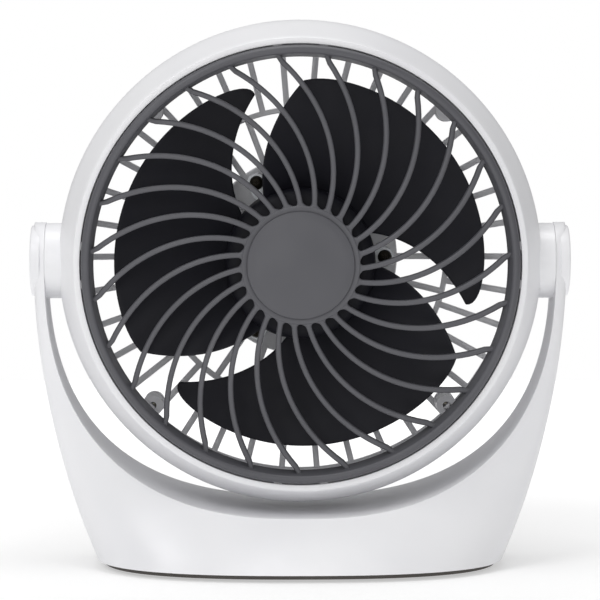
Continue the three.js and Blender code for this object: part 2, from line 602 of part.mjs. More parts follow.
function motorMount() {
  const rear = mountFrontY + MOUNT_THICKNESS;
  const web = block([-MOUNT_LUG_R, mountFrontY, 0], [MOUNT_LUG_R, rear, motorScrewCircle]);
  const lugs = motorPlaces.map(([x, z]) => bar(MOUNT_LUG_R, mountFrontY, rear, { at: [x, 0, z] }));
  lugs.push(...motorAngles.map((angle) => web.rotate([0, angle, 0])));
  const holes = motorPlaces.map(([x, z]) =>
    bar(hole, mountFrontY - 1, rear + 1, { at: [x, 0, z], sides: SCREW_SIDES }));
  return cut(joined([bar(MOTOR_R, mountFrontY, rear, { sides: MEDIUM_SIDES }), ...lugs]),
    [bar(BUSH_R + GAP, mountFrontY - 1, rear + 1), ...holes]);
}

// A flanged bush: its flange keeps it against the piece that it is pressed into.
const bush = (from, direction) => turned([
  [SHAFT_R + GAP, from], [BUSH_R, from], [BUSH_R, from + direction * BUSH_LENGTH],
  [SHAFT_R + GAP, from + direction * BUSH_LENGTH],
]);

function rearHousing() {
  const front = housingFrontY;
  const cup = turned([
    [housingInnerR, front], [plateR, front], [plateR, housingRearY - 2], [plateR - 2, housingRearY],
    [0, housingRearY], [0, housingRearY - HOUSING_WALL], [housingInnerR, housingRearY - HOUSING_WALL],
  ], { sides: LARGE_SIDES });
  const socketHalfWidth = SOCKET.width / 2 + GAP;
  const socketHalfHeight = SOCKET.height / 2 + GAP;
  return cut(cup, [
    bar(SPINDLE_R + RUNNING_GAP, front, housingRearY + 1),
    ...[-1, 1].flatMap((side) => {
      const at = [side * HOUSING_SCREW_X, 0, 0];
      return [bar(hole, front, housingRearY + 1, { at, sides: SCREW_SIDES })];
    }),
    block([-socketHalfWidth, front, SOCKET_Z - socketHalfHeight],
      [socketHalfWidth, housingRearY + 1, SOCKET_Z + socketHalfHeight]),
  ]);
}

function powerSocket() {
  const rear = housingRearY;
  const low = [-SOCKET.width / 2, rear - SOCKET.depth, SOCKET_Z - SOCKET.height / 2];
  const high = [SOCKET.width / 2, rear, SOCKET_Z + SOCKET.height / 2];
  const mouth = block([low[0] + SOCKET.wall, low[1] + SOCKET.wall, low[2] + SOCKET.wall],
    [high[0] - SOCKET.wall, rear + 1, high[2] - SOCKET.wall]);
  const { width, thickness, setBack } = SOCKET_TONGUE;
  const tongue = block([-width / 2, low[1], SOCKET_Z - thickness / 2],
    [width / 2, rear - setBack, SOCKET_Z + thickness / 2]);
  return joined([block(low, high).subtract(mouth), tongue]);
}

function socketBoard() {
  const top = SOCKET_Z - SOCKET.height / 2 - GAP;
  const rear = housingRearY - HOUSING_WALL - GAP;
  return block([-BOARD.width / 2, rear - BOARD.height / 2, top - BOARD.thickness],
    [BOARD.width / 2, rear, top]);
}

function speedSwitch() {
  const rear = housingRearY - HOUSING_WALL - GAP;
  const half = [SWITCH.width / 2, SWITCH.height / 2];
  const body = block([-half[0], rear - SWITCH.depth, -half[1]], [half[0], rear, half[1]]);
  return body.subtract(bar(SPINDLE_R + RUNNING_GAP, rear - SWITCH.depth + 2, rear + 1));
}

function speedKnob() {
  const front = housingRearY + RUNNING_GAP;
  const skirtRear = front + KNOB_SKIRT;
  const skirt = turned([
    [0, front], [KNOB_R, front], [KNOB_R, skirtRear - 0.8], [KNOB_R - 0.8, skirtRear], [0, skirtRear],
  ], { sides: MEDIUM_SIDES });
  const half = KNOB_GRIP.width / 2;
  const grip = block([-half, skirtRear - 1, -KNOB_R + 1.5], [half, knobRearY, KNOB_R - 1.5]);
  return joined([skirt, grip]).subtract(bar(SPINDLE_R + GAP, front - 1, spindleRearY + GAP));
}

function impeller() {
  const rootR = hubR - HUB_WALL / 2;
  const hub = turned([
    [SHAFT_R + GAP, hubFrontY], [hubR - 4, hubFrontY], [hubR - 1, hubFrontY + 1.2],
    [hubR, hubFrontY + 4], [hubR, hubFrontY + HUB_DEPTH], [hubR - HUB_WALL, hubFrontY + HUB_DEPTH],
    [hubR - HUB_WALL, hubFrontY + HUB_WALL + 1], [hubR - HUB_WALL - 3, hubFrontY + HUB_WALL],
    [HUB_BOSS_R, hubFrontY + HUB_WALL], [HUB_BOSS_R, hubFrontY + HUB_BOSS_LENGTH],
    [SHAFT_R + GAP, hubFrontY + HUB_BOSS_LENGTH],
  ], { sides: MEDIUM_SIDES });
  const blade = shapedBox([8, 4, 1], (around, out, thick) => {
    const corner = Math.abs(2 * around - 1) ** TIP_SQUARENESS;
    const radius = mix(rootR, bladeTipR - TIP_ROUNDING * corner, out);
    const first = TRAILING_EDGE.root + TRAILING_EDGE.sweep * (radius - rootR);
    const last = LEADING_EDGE.root + LEADING_EDGE.sweep * (radius - rootR);
    const [x, z] = onFace(radius, mix(first, last, around));
    const depth = mix(BLADE_DEPTH_ROOT, BLADE_DEPTH_TIP, out);
    const y = hubFrontY + BLADE_SET_BACK + depth * (1 - (1 - around) ** BLADE_TWIST);
    return [x, y + (1 - thick) * BLADE_THICKNESS, z];
  });
  return joined([hub, ...spread(BLADES).map((angle) => blade.rotate([0, angle, 0]))]);
}

function addPivots(group) {
  for (const [name, along] of sides) {
    const washerFrom = bossEndX - WASHER_THICKNESS;
    add(group, `friction_washer_${name}`,
      sleeve(PIVOT_BOLT_R + GAP, WASHER_R, washerFrom, bossEndX, { along, sides: MEDIUM_SIDES }), RUBBER);
    add(group, `pivot_insert_${name}`,
      sleeve(PIVOT_BOLT_R + GAP, INSERT_R, insertStartX, insertStartX + INSERT_LENGTH, { along }), BRASS);
    const head = boltHeadX + PIVOT_BOLT_HEAD.height;
    add(group, `pivot_bolt_${name}`, turned([
      [0, bossEndX - PIVOT_BOLT_REACH], [PIVOT_BOLT_R, bossEndX - PIVOT_BOLT_REACH],
      [PIVOT_BOLT_R, boltHeadX],
      [PIVOT_BOLT_HEAD.radius, boltHeadX], [PIVOT_BOLT_HEAD.radius, head], [0, head],
    ], { along }), STEEL);
  }
}

function addMotor(group) {
  add(group, "motor_case", motorCase(), STEEL);
  add(group, "motor_mount", motorMount(), STEEL);
  add(group, "front_bush", bush(motorFrontY - 1, 1), BRASS);
  add(group, "rear_bush", bush(mountFrontY + MOUNT_THICKNESS + 1, -1), BRASS);
  const from = motorFrontY + MOTOR_END_SPACE;
  const to = motorRearY - MOTOR_END_SPACE;
  const statorR = MOTOR_R - MOTOR_WALL - GAP;
  const winding = sleeve(statorR - STATOR_WIDTH, statorR, from, to, { sides: MEDIUM_SIDES });
  add(group, "stator_winding", winding, COPPER_WINDING);
  motorPlaces.forEach(([x, z], i) => {
    add(group, `motor_screw_${i + 1}`, screw(MOTOR_SCREW_LENGTH, { at: [x, mountFrontY - GAP, z] }), STEEL);
  });
}

function addBack(group) {
  add(group, "rear_grille", rearGrille(), WHITE_ABS);
  rimPlaces.forEach(([x, z], i) => {
    const options = { along: ALONG.front, at: [x, rimY + GAP, z] };
    add(group, `rear_grille_screw_${i + 1}`, screw(RIM_SCREW_LENGTH, options), STEEL);
  });
  add(group, "rear_housing", rearHousing(), WHITE_ABS);
  for (const [name, along] of sides) {
    const options = { along: ALONG.front, at: [along.x * HOUSING_SCREW_X, housingRearY + GAP, 0] };
    add(group, `housing_screw_${name}`, screw(HOUSING_SCREW_LENGTH, options), STEEL);
  }
  add(group, "speed_switch", speedSwitch(), DARK_PLASTIC);
  add(group, "power_socket", powerSocket(), STEEL);
  add(group, "socket_board", socketBoard(), BOARD_GREEN);
}

// What spins: the moulded impeller, the shaft through it and the motor's rotor.
function addImpeller(group) {
  const shaftFrontY = hubFrontY - HUB_NUT.height;
  add(group, "impeller", impeller(), BLACK_ABS);
  add(group, "motor_shaft", bar(SHAFT_R, shaftFrontY, plateRearY - GAP), STEEL);
  add(group, "hub_nut", sleeve(SHAFT_R + GAP, HUB_NUT.radius, hubFrontY - GAP - HUB_NUT.height,
    hubFrontY - GAP, { sides: 6 }), STEEL);
  const from = motorFrontY + MOTOR_END_SPACE + 1;
  const to = motorRearY - MOTOR_END_SPACE - 1;
  add(group, "rotor", sleeve(SHAFT_R + GAP, ROTOR_R, from, to, { sides: MEDIUM_SIDES }), DARK_PLASTIC);
}

function addKnob(group) {
  const from = housingRearY - HOUSING_WALL - GAP - SWITCH.depth + 2 + GAP;
  add(group, "speed_knob", speedKnob(), GREY_ABS);
  add(group, "switch_spindle", bar(SPINDLE_R, from, spindleRearY), STEEL);
}

// ---- Assembly ----------------------------------------------------------------------------

const fan = new THREE.Group();
const head = new THREE.Group();
head.position.set(0, 0, pivotHeight);
fan.add(head);

addBase(fan);
add(head, "drum", drum(), WHITE_ABS);
add(head, "front_grille", frontGrille(), GREY_ABS);
add(head, "centre_cap", centreCap(), GREY_ABS);
addPivots(head);
addMotor(head);
addBack(head);
addImpeller(head);
addKnob(head);

export default fan;
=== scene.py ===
import math

import bmesh
import bpy
from mathutils import Matrix, Vector


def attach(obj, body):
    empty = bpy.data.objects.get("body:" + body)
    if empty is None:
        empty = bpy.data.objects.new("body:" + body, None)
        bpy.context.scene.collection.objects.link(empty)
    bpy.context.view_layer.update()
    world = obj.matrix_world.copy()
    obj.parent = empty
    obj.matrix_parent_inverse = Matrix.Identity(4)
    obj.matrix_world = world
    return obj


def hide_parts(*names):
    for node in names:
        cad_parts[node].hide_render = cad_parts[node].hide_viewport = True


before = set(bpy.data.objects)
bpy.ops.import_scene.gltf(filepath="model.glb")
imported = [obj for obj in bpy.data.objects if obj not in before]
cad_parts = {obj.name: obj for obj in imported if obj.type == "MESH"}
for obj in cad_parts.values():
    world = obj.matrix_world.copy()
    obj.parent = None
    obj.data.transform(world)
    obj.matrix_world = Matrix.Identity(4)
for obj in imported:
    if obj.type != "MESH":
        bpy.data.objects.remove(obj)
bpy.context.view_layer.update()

# ---- Base shell ------------------------------------------------------------------------------
# The stand of the fan: one thin-walled moulding in glossy white ABS. Its foot is a rounded oblong,
# and it rises into two flat arms that hold the head. All sizes here are millimetres until a piece
# is finished.

AXIS = 119.0  # the tilt axis above the table
SHELL_EDGE = 2.9  # the shell's lower edge above the table
FOOT_HALF_WIDTH = 79.4
FOOT_HALF_DEPTH = 50.0
ARM_OUTER = 103.4
ARM_INNER = 99.0
ARM_HALF_DEPTH = 15.0
FOOT_SQUARENESS = 2.5
ARM_SQUARENESS = 10.5
CRADLE_DROP = 97.0
CRADLE_SQUARENESS = 2.5
FLARE_POWER = 3.6  # a higher value keeps the foot's flare nearer the table
SQUARENESS_POWER = 1.2
SHELL_WALL = 2.4
SHELL_HOLLOW = 2.0  # how far the underside is let in
EDGE_ROUNDING = 0.8
ARM_TOP_ROWS = 10
CRADLE_ROWS = 72  # from the tilt axis down to the middle of the cradle
LEVEL_ROWS = 18  # rows that run level out to the arm's outer side
CORNER_ROW = 42  # the row that ends in the foot's corner
FACE_COLUMNS = 24
CRADLE_COLUMNS = 6
FACE_SAMPLES = 40  # points worked out along a row before they are spaced evenly
HALVINGS = 48


def mix(low, high, share):
    return low + (high - low) * share


def oblong_reach(across, along, squareness):
    return (abs(across) ** squareness + abs(along) ** squareness) ** (-1 / squareness)


def drop_at(z):
    return min(1.0, max(0.0, (AXIS - z) / (AXIS - SHELL_EDGE)))


def shell_half_width(z):
    return mix(ARM_OUTER, FOOT_HALF_WIDTH, drop_at(z) ** 2)


def shell_half_depth(z):
    if z > AXIS:
        return math.sqrt(max(0.0, ARM_HALF_DEPTH**2 - (z - AXIS) ** 2))
    return mix(ARM_HALF_DEPTH, FOOT_HALF_DEPTH, drop_at(z) ** FLARE_POWER)


def shell_squareness(z):
    return mix(FOOT_SQUARENESS, ARM_SQUARENESS, (1 - drop_at(z)) ** SQUARENESS_POWER)


def face_angle(x, z):
    """How far round the level section the front face is at x: 0 at the side, a right angle in front."""
    power = shell_squareness(z)
    share = min(1.0, x / shell_half_width(z))
    return math.atan2((1 - share**power) ** (1 / power), share)


def face_row(inner, outer):
    """Evenly spaced points of the front face, over a straight line seen from the front."""
    start, end = face_angle(*inner), face_angle(*outer)
    marks = [(step / FACE_SAMPLES, None) for step in range(FACE_SAMPLES + 1)]
    for step in range(1, FACE_SAMPLES + 1):
        wanted = mix(start, end, step / FACE_SAMPLES)
        near, far = 0.0, 1.0
        for _ in range(HALVINGS):
            middle = (near + far) / 2
            here = [mix(a, b, middle) for a, b in zip(inner, outer)]
            near, far = (middle, far) if face_angle(*here) > wanted else (near, middle)
        marks.append((near, wanted))
    path = []
    for share, angle in marks:
        x, z = (mix(a, b, share) for a, b in zip(inner, outer))
        angle = face_angle(x, z) if angle is None else angle
        side = x / shell_half_width(z)
        reach = side * math.tan(angle) if side > 1e-3 else 1.0
        path.append((share, -angle, Vector((x, -shell_half_depth(z) * min(reach, 1.0), z))))
    path.sort(key=lambda mark: mark[:2])
    points = [mark[2] for mark in path]
    lengths = [0.0]
    for a, b in zip(points, points[1:]):
        lengths.append(lengths[-1] + (b - a).length)
    row, at = [], 0
    for column in range(FACE_COLUMNS + 1):
        wanted = lengths[-1] * column / FACE_COLUMNS
        while at < len(points) - 2 and lengths[at + 1] < wanted:
            at += 1
        span = lengths[at + 1] - lengths[at]
        row.append(points[at].lerp(points[at + 1], (wanted - lengths[at]) / span if span else 0.0))
    return row


def shell_rows():
    """Rows of the right half's front face, from the top of the arm to the middle of the cradle."""
    rows = []
    for step in range(ARM_TOP_ROWS):
        z = AXIS + ARM_HALF_DEPTH * math.cos(math.pi / 2 * step / ARM_TOP_ROWS)
        rows.append(face_row((ARM_INNER, z), (ARM_OUTER, z)))
    cradle = []
    for step in range(CRADLE_ROWS + 1):
        angle = math.pi / 2 * step / CRADLE_ROWS
        c, s = math.cos(angle), math.sin(angle)
        reach = oblong_reach(c, s, CRADLE_SQUARENESS)
        cradle.append((ARM_INNER * c * reach, AXIS - CRADLE_DROP * s * reach))
    for step, (x, z) in enumerate(cradle):
        if step <= LEVEL_ROWS:
            outer = (shell_half_width(z), z)
        elif step <= CORNER_ROW:
            share = (step - LEVEL_ROWS) / (CORNER_ROW - LEVEL_ROWS)
            level = mix(cradle[LEVEL_ROWS][1], SHELL_EDGE, share)
            outer = (shell_half_width(level), level)
        else:
            turn = math.pi / 2 * (step - CORNER_ROW) / (CRADLE_ROWS - CORNER_ROW)
            c, s = math.cos(turn), math.sin(turn)
            outer = (FOOT_HALF_WIDTH * c * oblong_reach(c, s, FOOT_SQUARENESS), SHELL_EDGE)
        rows.append(face_row((x, z), outer))
    return rows


def finished(name, bm, finish, sharp=35):
    """A modelled piece as an object in metres, shaded smooth up to an angle in degrees."""
    bmesh.ops.scale(bm, vec=(0.001,) * 3, verts=bm.verts)
    mesh = bpy.data.meshes.new(name)
    bm.to_mesh(mesh)
    bm.free()
    mesh.materials.append(finish)
    mesh.shade_smooth()
    mesh.set_sharp_from_angle(angle=math.radians(sharp))
    piece = bpy.data.objects.new(name, mesh)
    bpy.context.scene.collection.objects.link(piece)
    return piece


def linear(code):
    """A linear colour from an sRGB hex value."""
    parts = [(code >> shift & 255) / 255 for shift in (16, 8, 0)]
    return (*[p / 12.92 if p <= 0.04045 else ((p + 0.055) / 1.055) ** 2.4 for p in parts], 1.0)


def node(material, kind, settings=None, links=None):
    made = material.node_tree.nodes.new(kind)
    for name, value in (settings or {}).items():
        if name in made.inputs:
            made.inputs[name].default_value = value
        else:
            setattr(made, name, value)
    for name, source in (links or {}).items():
        material.node_tree.links.new(source, made.inputs[name])
    return made


def new_material(name):
    material = bpy.data.materials.new(name)
    material.use_nodes = True
    material.node_tree.nodes.clear()
    return material


def moulded_plastic(name, pale, deep, grain, relief, polish, coat=0.0, ior=1.53):
    """Moulded plastic: a faint cloudiness in its colour, and the tool's fine grain on its surface.

    grain is the size in millimetres of one pit of the grain, relief its depth in thousandths of a
    millimetre, and polish the lowest and the highest roughness.
    """
    made = new_material(name)
    place = node(made, "ShaderNodeTexCoord").outputs["Object"]
    cloud = node(made, "ShaderNodeTexNoise", {"Scale": 1000 / 45, "Detail": 3.0}, {"Vector": place})
    tint = node(made, "ShaderNodeValToRGB", {}, {"Fac": cloud.outputs["Fac"]})
    tint.color_ramp.elements[0].position = 0.3
    tint.color_ramp.elements[0].color = linear(deep)
    tint.color_ramp.elements[1].position = 0.7
    tint.color_ramp.elements[1].color = linear(pale)
    smear = node(made, "ShaderNodeTexNoise", {"Scale": 1000 / 18, "Detail": 4.0}, {"Vector": place})
    sheen = node(made, "ShaderNodeMapRange", {"From Min": 0.3, "From Max": 0.7, "To Min": polish[0],
                 "To Max": polish[1]}, {"Value": smear.outputs["Fac"]})
    pits = node(made, "ShaderNodeTexNoise", {"Scale": 1000 / grain, "Detail": 2.0},
                {"Vector": place})
    bump = node(made, "ShaderNodeBump", {"Strength": 1.0, "Distance": relief * 1e-6},
                {"Height": pits.outputs["Fac"]})
    surface = node(made, "ShaderNodeBsdfPrincipled", {"IOR": ior, "Coat Weight": coat,
                   "Coat Roughness": 0.12}, {"Base Color": tint.outputs["Color"],
                   "Roughness": sheen.outputs["Result"], "Normal": bump.outputs["Normal"]})
    node(made, "ShaderNodeOutputMaterial", {}, {"Surface": surface.outputs["BSDF"]})
    return made


# White ABS from a polished tool: satin to glossy, with a very fine grain that softens highlights.
white_abs = moulded_plastic("white_moulded_abs", 0xF1F1F3, 0xECECEF, 0.5, 4.0, (0.3, 0.42))

half = shell_rows()
rows = half + half[-2::-1]
row_count, column_count = len(rows) - 1, 2 * FACE_COLUMNS + CRADLE_COLUMNS
bm = bmesh.new()
bmesh.ops.create_grid(bm, x_segments=row_count, y_segments=column_count, size=0.5)
for vert in bm.verts:
    at = round((vert.co.x + 0.5) * row_count)
    column = round((vert.co.y + 0.5) * column_count)
    rear = column > FACE_COLUMNS + CRADLE_COLUMNS // 2
    column = column_count - column if rear else column
    point = rows[at][max(0, FACE_COLUMNS - column)].copy()
    if column > FACE_COLUMNS:
        point.y *= 1 - (column - FACE_COLUMNS) / (CRADLE_COLUMNS / 2)
    if at >= len(half):
        point.x = -point.x
    if rear:
        point.y = -point.y
    vert.co = point
bmesh.ops.remove_doubles(bm, verts=bm.verts, dist=0.001)
bmesh.ops.dissolve_degenerate(bm, edges=bm.edges, dist=0.001)
lower_edge = [edge for edge in bm.edges if edge.is_boundary]
underside = bmesh.ops.contextual_create(bm, geom=lower_edge)["faces"]
bmesh.ops.recalc_face_normals(bm, faces=bm.faces)
bmesh.ops.inset_region(bm, faces=underside, thickness=SHELL_WALL, depth=0)
bmesh.ops.translate(bm, vec=(0, 0, SHELL_HOLLOW), verts=underside[0].verts)
crisp = [edge for edge in bm.edges if len(edge.link_faces) == 2
         and edge.calc_face_angle() > math.radians(48) and edge.verts[0].co.z < AXIS + 14]
bmesh.ops.bevel(bm, geom=crisp, offset=EDGE_ROUNDING, offset_type="OFFSET", affect="EDGES",
                segments=3, profile=0.5, material=-1, clamp_overlap=True)
bmesh.ops.recalc_face_normals(bm, faces=bm.faces)
shell = finished("base_moulding", bm, white_abs)
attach(shell, "base")
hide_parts("base_shell")

# ---- Underside plate -------------------------------------------------------------------------
# A flat plate in unpainted dark plastic closes the shell from below. It stands a millimetre proud
# of the shell's edge and shows as a thin dark line round the foot.

PLATE_BOTTOM = 1.0
PLATE_TOP = 4.0
PLATE_INSET = 2.7
SCREW_PLACES = [(x * 58.0, y * 24.0) for x, y in ((-1, -1), (1, -1), (-1, 1), (1, 1))]
FOOT_PLACES = [(x * 45.0, y * 30.0) for x, y in ((-1, -1), (1, -1), (-1, 1), (1, 1))]
TURN = {"Z": Matrix.Identity(3), "Y": Matrix.Rotation(-math.pi / 2, 3, "X"),
        "X": Matrix.Rotation(math.pi / 2, 3, "Y")}  # each turns +Z onto that axis


def carved(bm, tool):
    """A modelled piece after a cut by another."""
    objects = []
    for part in (bm, tool):
        mesh = bpy.data.meshes.new("carving")
        part.to_mesh(mesh)
        part.free()
        objects.append(bpy.data.objects.new("carving", mesh))
        bpy.context.scene.collection.objects.link(objects[-1])
    cut = objects[0].modifiers.new("cut", "BOOLEAN")
    cut.object, cut.operation, cut.solver = objects[1], "DIFFERENCE", "EXACT"
    result = bmesh.new()
    result.from_object(objects[0], bpy.context.evaluated_depsgraph_get())
    for made in objects:
        mesh = made.data
        bpy.data.objects.remove(made)
        bpy.data.meshes.remove(mesh)
    return result


def round_bar(bm, radius, low, high, sides=32, axis="Z"):
    """A closed round bar along an axis, from the middle of one end to the middle of the other."""
    middle = (Vector(low) + Vector(high)) / 2
    length = (Vector(high) - Vector(low)).length
    bmesh.ops.create_cone(bm, cap_ends=True, segments=sides, radius1=radius, radius2=radius,
                          depth=length, matrix=Matrix.Translation(middle) @ TURN[axis].to_4x4())


# Recycled-grade PP, left as it comes from the tool: dark, warm and matt.
dark_plastic = moulded_plastic("dark_moulded_pp", 0x4E4A46, 0x443F3C, 0.9, 14.0, (0.55, 0.7))

bm = bmesh.new()
ring = bmesh.ops.create_circle(bm, cap_ends=True, radius=1.0, segments=96)["verts"]
for vert in ring:
    reach = oblong_reach(vert.co.x, vert.co.y, FOOT_SQUARENESS)
    vert.co = ((FOOT_HALF_WIDTH - PLATE_INSET) * vert.co.x * reach,
               (FOOT_HALF_DEPTH - PLATE_INSET) * vert.co.y * reach, PLATE_BOTTOM)
top = bmesh.ops.extrude_face_region(bm, geom=bm.faces[:])["geom"]
bmesh.ops.translate(bm, vec=(0, 0, PLATE_TOP - PLATE_BOTTOM),
                    verts=[item for item in top if isinstance(item, bmesh.types.BMVert)])
bmesh.ops.recalc_face_normals(bm, faces=bm.faces)
rim = [edge for edge in bm.edges if all(v.co.z < PLATE_BOTTOM + 0.1 for v in edge.verts)]
bmesh.ops.bevel(bm, geom=rim, offset=0.5, affect="EDGES", segments=2, profile=0.5, material=-1)
wells = bmesh.new()
for x, y in SCREW_PLACES:
    round_bar(wells, 3.3, (x, y, -1), (x, y, 3.1))
for x, y in FOOT_PLACES:
    round_bar(wells, 6.3, (x, y, -1), (x, y, 2.3), sides=48)
plate = finished("underside_plate", carved(bm, wells), dark_plastic)
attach(plate, "base")
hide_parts("bottom_plate")

# ---- Feet ------------------------------------------------------------------------------------
# Four soft black rubber discs, pressed into wells in the underside plate so that the fan doesn't
# creep. Their edges are rounded and their faces slightly dished by the tool.

FOOT_RADIUS = 6.0
FOOT_HEIGHT = 2.0


def spun(outline, turns=96, axis="Z", centre=(0, 0, 0)):
    """A closed outline of (radius, distance along the axis) spun round the axis."""
    bm = bmesh.new()
    verts = [bm.verts.new((radius, 0, along)) for radius, along in outline]
    edges = [bm.edges.new(pair) for pair in zip(verts, verts[1:])]
    if outline[0][0] > 0 or outline[-1][0] > 0:
        edges.append(bm.edges.new((verts[-1], verts[0])))
    bmesh.ops.spin(bm, geom=verts + edges, cent=(0, 0, 0), axis=(0, 0, 1), dvec=(0, 0, 0),
                   angle=2 * math.pi, steps=turns, use_merge=True)
    bmesh.ops.remove_doubles(bm, verts=bm.verts, dist=0.0005)
    bmesh.ops.rotate(bm, cent=(0, 0, 0), matrix=TURN[axis], verts=bm.verts)
    bmesh.ops.translate(bm, vec=centre, verts=bm.verts)
    bmesh.ops.recalc_face_normals(bm, faces=bm.faces)
    return bm


# Moulded TPE rubber: near black, dull, with a slight tooth.
rubber = moulded_plastic("black_tpe_rubber", 0x2B2B2C, 0x222223, 0.6, 20.0, (0.75, 0.9))

for name, (x, y) in zip(("front_left", "front_right", "rear_left", "rear_right"), FOOT_PLACES):
    bm = spun([(0, 0.25), (FOOT_RADIUS - 1.6, 0.1), (FOOT_RADIUS - 0.9, 0), (FOOT_RADIUS - 0.3, 0.15),
               (FOOT_RADIUS, 0.6), (FOOT_RADIUS, FOOT_HEIGHT), (0, FOOT_HEIGHT)], turns=48,
              centre=(x, y, 0))
    foot = finished(f"rubber_foot_{name}", bm, rubber)
    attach(foot, "base")
    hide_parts(f"foot_{name}")

# ---- Pan-head screws -------------------------------------------------------------------------
# Self-tapping steel screws with a low domed head and a cross recess. Four hold the underside plate,
# four the rear grille and two the back housing, all zinc-plated; three black ones hold the motor.

HEAD_RADIUS = 2.8
HEAD_HEIGHT = 1.8
SHANK_RADIUS = 1.45
RECESS_WIDTH = 0.62
RECESS_LENGTH = 2.9
RECESS_DEPTH = 1.0
RECESS_TAPER = 0.6
QUARTERS = (45, 135, 225, 315)  # degrees clockwise from the top
POST_CIRCLE = 82.0  # the rear grille's screws
MOTOR_SCREW_CIRCLE = 34.0
HOUSING_SCREWS = {"left": -25.0, "right": 25.0}


def block(bm, size, middle):
    verts = bmesh.ops.create_cube(bm, size=1.0)["verts"]
    bmesh.ops.scale(bm, vec=size, verts=verts)
    bmesh.ops.translate(bm, vec=middle, verts=verts)
    return verts


def pan_screw(length):
    """A screw along +Z with the underside of its head at 0, and its head below."""
    bm = spun([(0, -HEAD_HEIGHT), (HEAD_RADIUS * 0.45, -HEAD_HEIGHT * 0.97),
               (HEAD_RADIUS * 0.78, -HEAD_HEIGHT * 0.8), (HEAD_RADIUS * 0.95, -HEAD_HEIGHT * 0.5),
               (HEAD_RADIUS, -HEAD_HEIGHT * 0.2), (HEAD_RADIUS * 0.98, 0), (SHANK_RADIUS, 0),
               (SHANK_RADIUS, length - SHANK_RADIUS), (0, length)], turns=28)
    for size in ((RECESS_WIDTH, RECESS_LENGTH), (RECESS_LENGTH, RECESS_WIDTH)):
        recess = bmesh.new()
        for vert in block(recess, (*size, 2 * RECESS_DEPTH), (0, 0, -HEAD_HEIGHT)):
            if vert.co.z > -HEAD_HEIGHT:
                vert.co.x *= RECESS_TAPER
                vert.co.y *= RECESS_TAPER
        bm = carved(bm, recess)
    return bm


def metal(name, pale, deep, grain, low, high):
    """A bare metal whose colour and polish drift over patches of a size in millimetres."""
    made = new_material(name)
    place = node(made, "ShaderNodeTexCoord").outputs["Object"]
    patch = node(made, "ShaderNodeTexNoise", {"Scale": 1000 / grain, "Detail": 5.0},
                 {"Vector": place})
    tint = node(made, "ShaderNodeValToRGB", {}, {"Fac": patch.outputs["Fac"]})
    tint.color_ramp.elements[0].position, tint.color_ramp.elements[0].color = 0.3, linear(deep)
    tint.color_ramp.elements[1].position, tint.color_ramp.elements[1].color = 0.7, linear(pale)
    dull = node(made, "ShaderNodeMapRange", {"To Min": low, "To Max": high},
                {"Value": patch.outputs["Fac"]})
    surface = node(made, "ShaderNodeBsdfPrincipled", {"Metallic": 1.0},
                   {"Base Color": tint.outputs["Color"], "Roughness": dull.outputs["Result"]})
    node(made, "ShaderNodeOutputMaterial", {}, {"Surface": surface.outputs["BSDF"]})
    return made


# Zinc plate over steel, lightly passivated: a pale, slightly yellow metal.
zinc = metal("zinc_plated_steel", 0xD2CEC2, 0xB9B098, 2.5, 0.26, 0.5)
# Black oxide over steel, oiled: nearly black, with a dull brown glint on the edges of the recess.
black_oxide = metal("black_oxide_steel", 0x3A362F, 0x1F1D1B, 1.5, 0.35, 0.55)


def place_screw(name, cad_node, body, length, turn, place, finish=zinc):
    bm = pan_screw(length)
    bmesh.ops.rotate(bm, cent=(0, 0, 0), matrix=turn, verts=bm.verts)
    bmesh.ops.translate(bm, vec=place, verts=bm.verts)
    screw = finished(name, bm, finish, sharp=30)
    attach(screw, body)
    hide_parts(cad_node)


BACKWARD = TURN["Y"]  # the shank points to the back, and the head to the front
FORWARD = Matrix.Rotation(math.pi / 2, 3, "X")
for name, (x, y) in zip(("front_left", "front_right", "rear_left", "rear_right"), SCREW_PLACES):
    place_screw(f"plate_screw_{name}", f"base_screw_{name}", "base", 14, TURN["Z"], (x, y, 2.8))


def on_face(radius, degrees):
    """X and Z of a point on the head, by its angle clockwise from the top."""
    angle = math.radians(degrees)
    return radius * math.sin(angle), AXIS + radius * math.cos(angle)


for number, degrees in enumerate(QUARTERS, 1):
    x, z = on_face(POST_CIRCLE, degrees)
    place_screw(f"grille_screw_{number}", f"rear_grille_screw_{number}", "head", 10, FORWARD,
                (x, 24.3, z))
for number, degrees in enumerate((90, 210, 330), 1):
    x, z = on_face(MOTOR_SCREW_CIRCLE, degrees)
    place_screw(f"mount_screw_{number}", f"motor_screw_{number}", "head", 8, BACKWARD, (x, 22.4, z),
                black_oxide)
for name, x in HOUSING_SCREWS.items():
    place_screw(f"back_screw_{name}", f"housing_screw_{name}", "head", 15, FORWARD, (x, 42.6, AXIS))

# ---- Pivot buttons ---------------------------------------------------------------------------
# White snap-in buttons on the arms' outer sides hide the tilt bolts. Each is a shallow disc with a
# softly rounded edge and a faint ring round its middle.

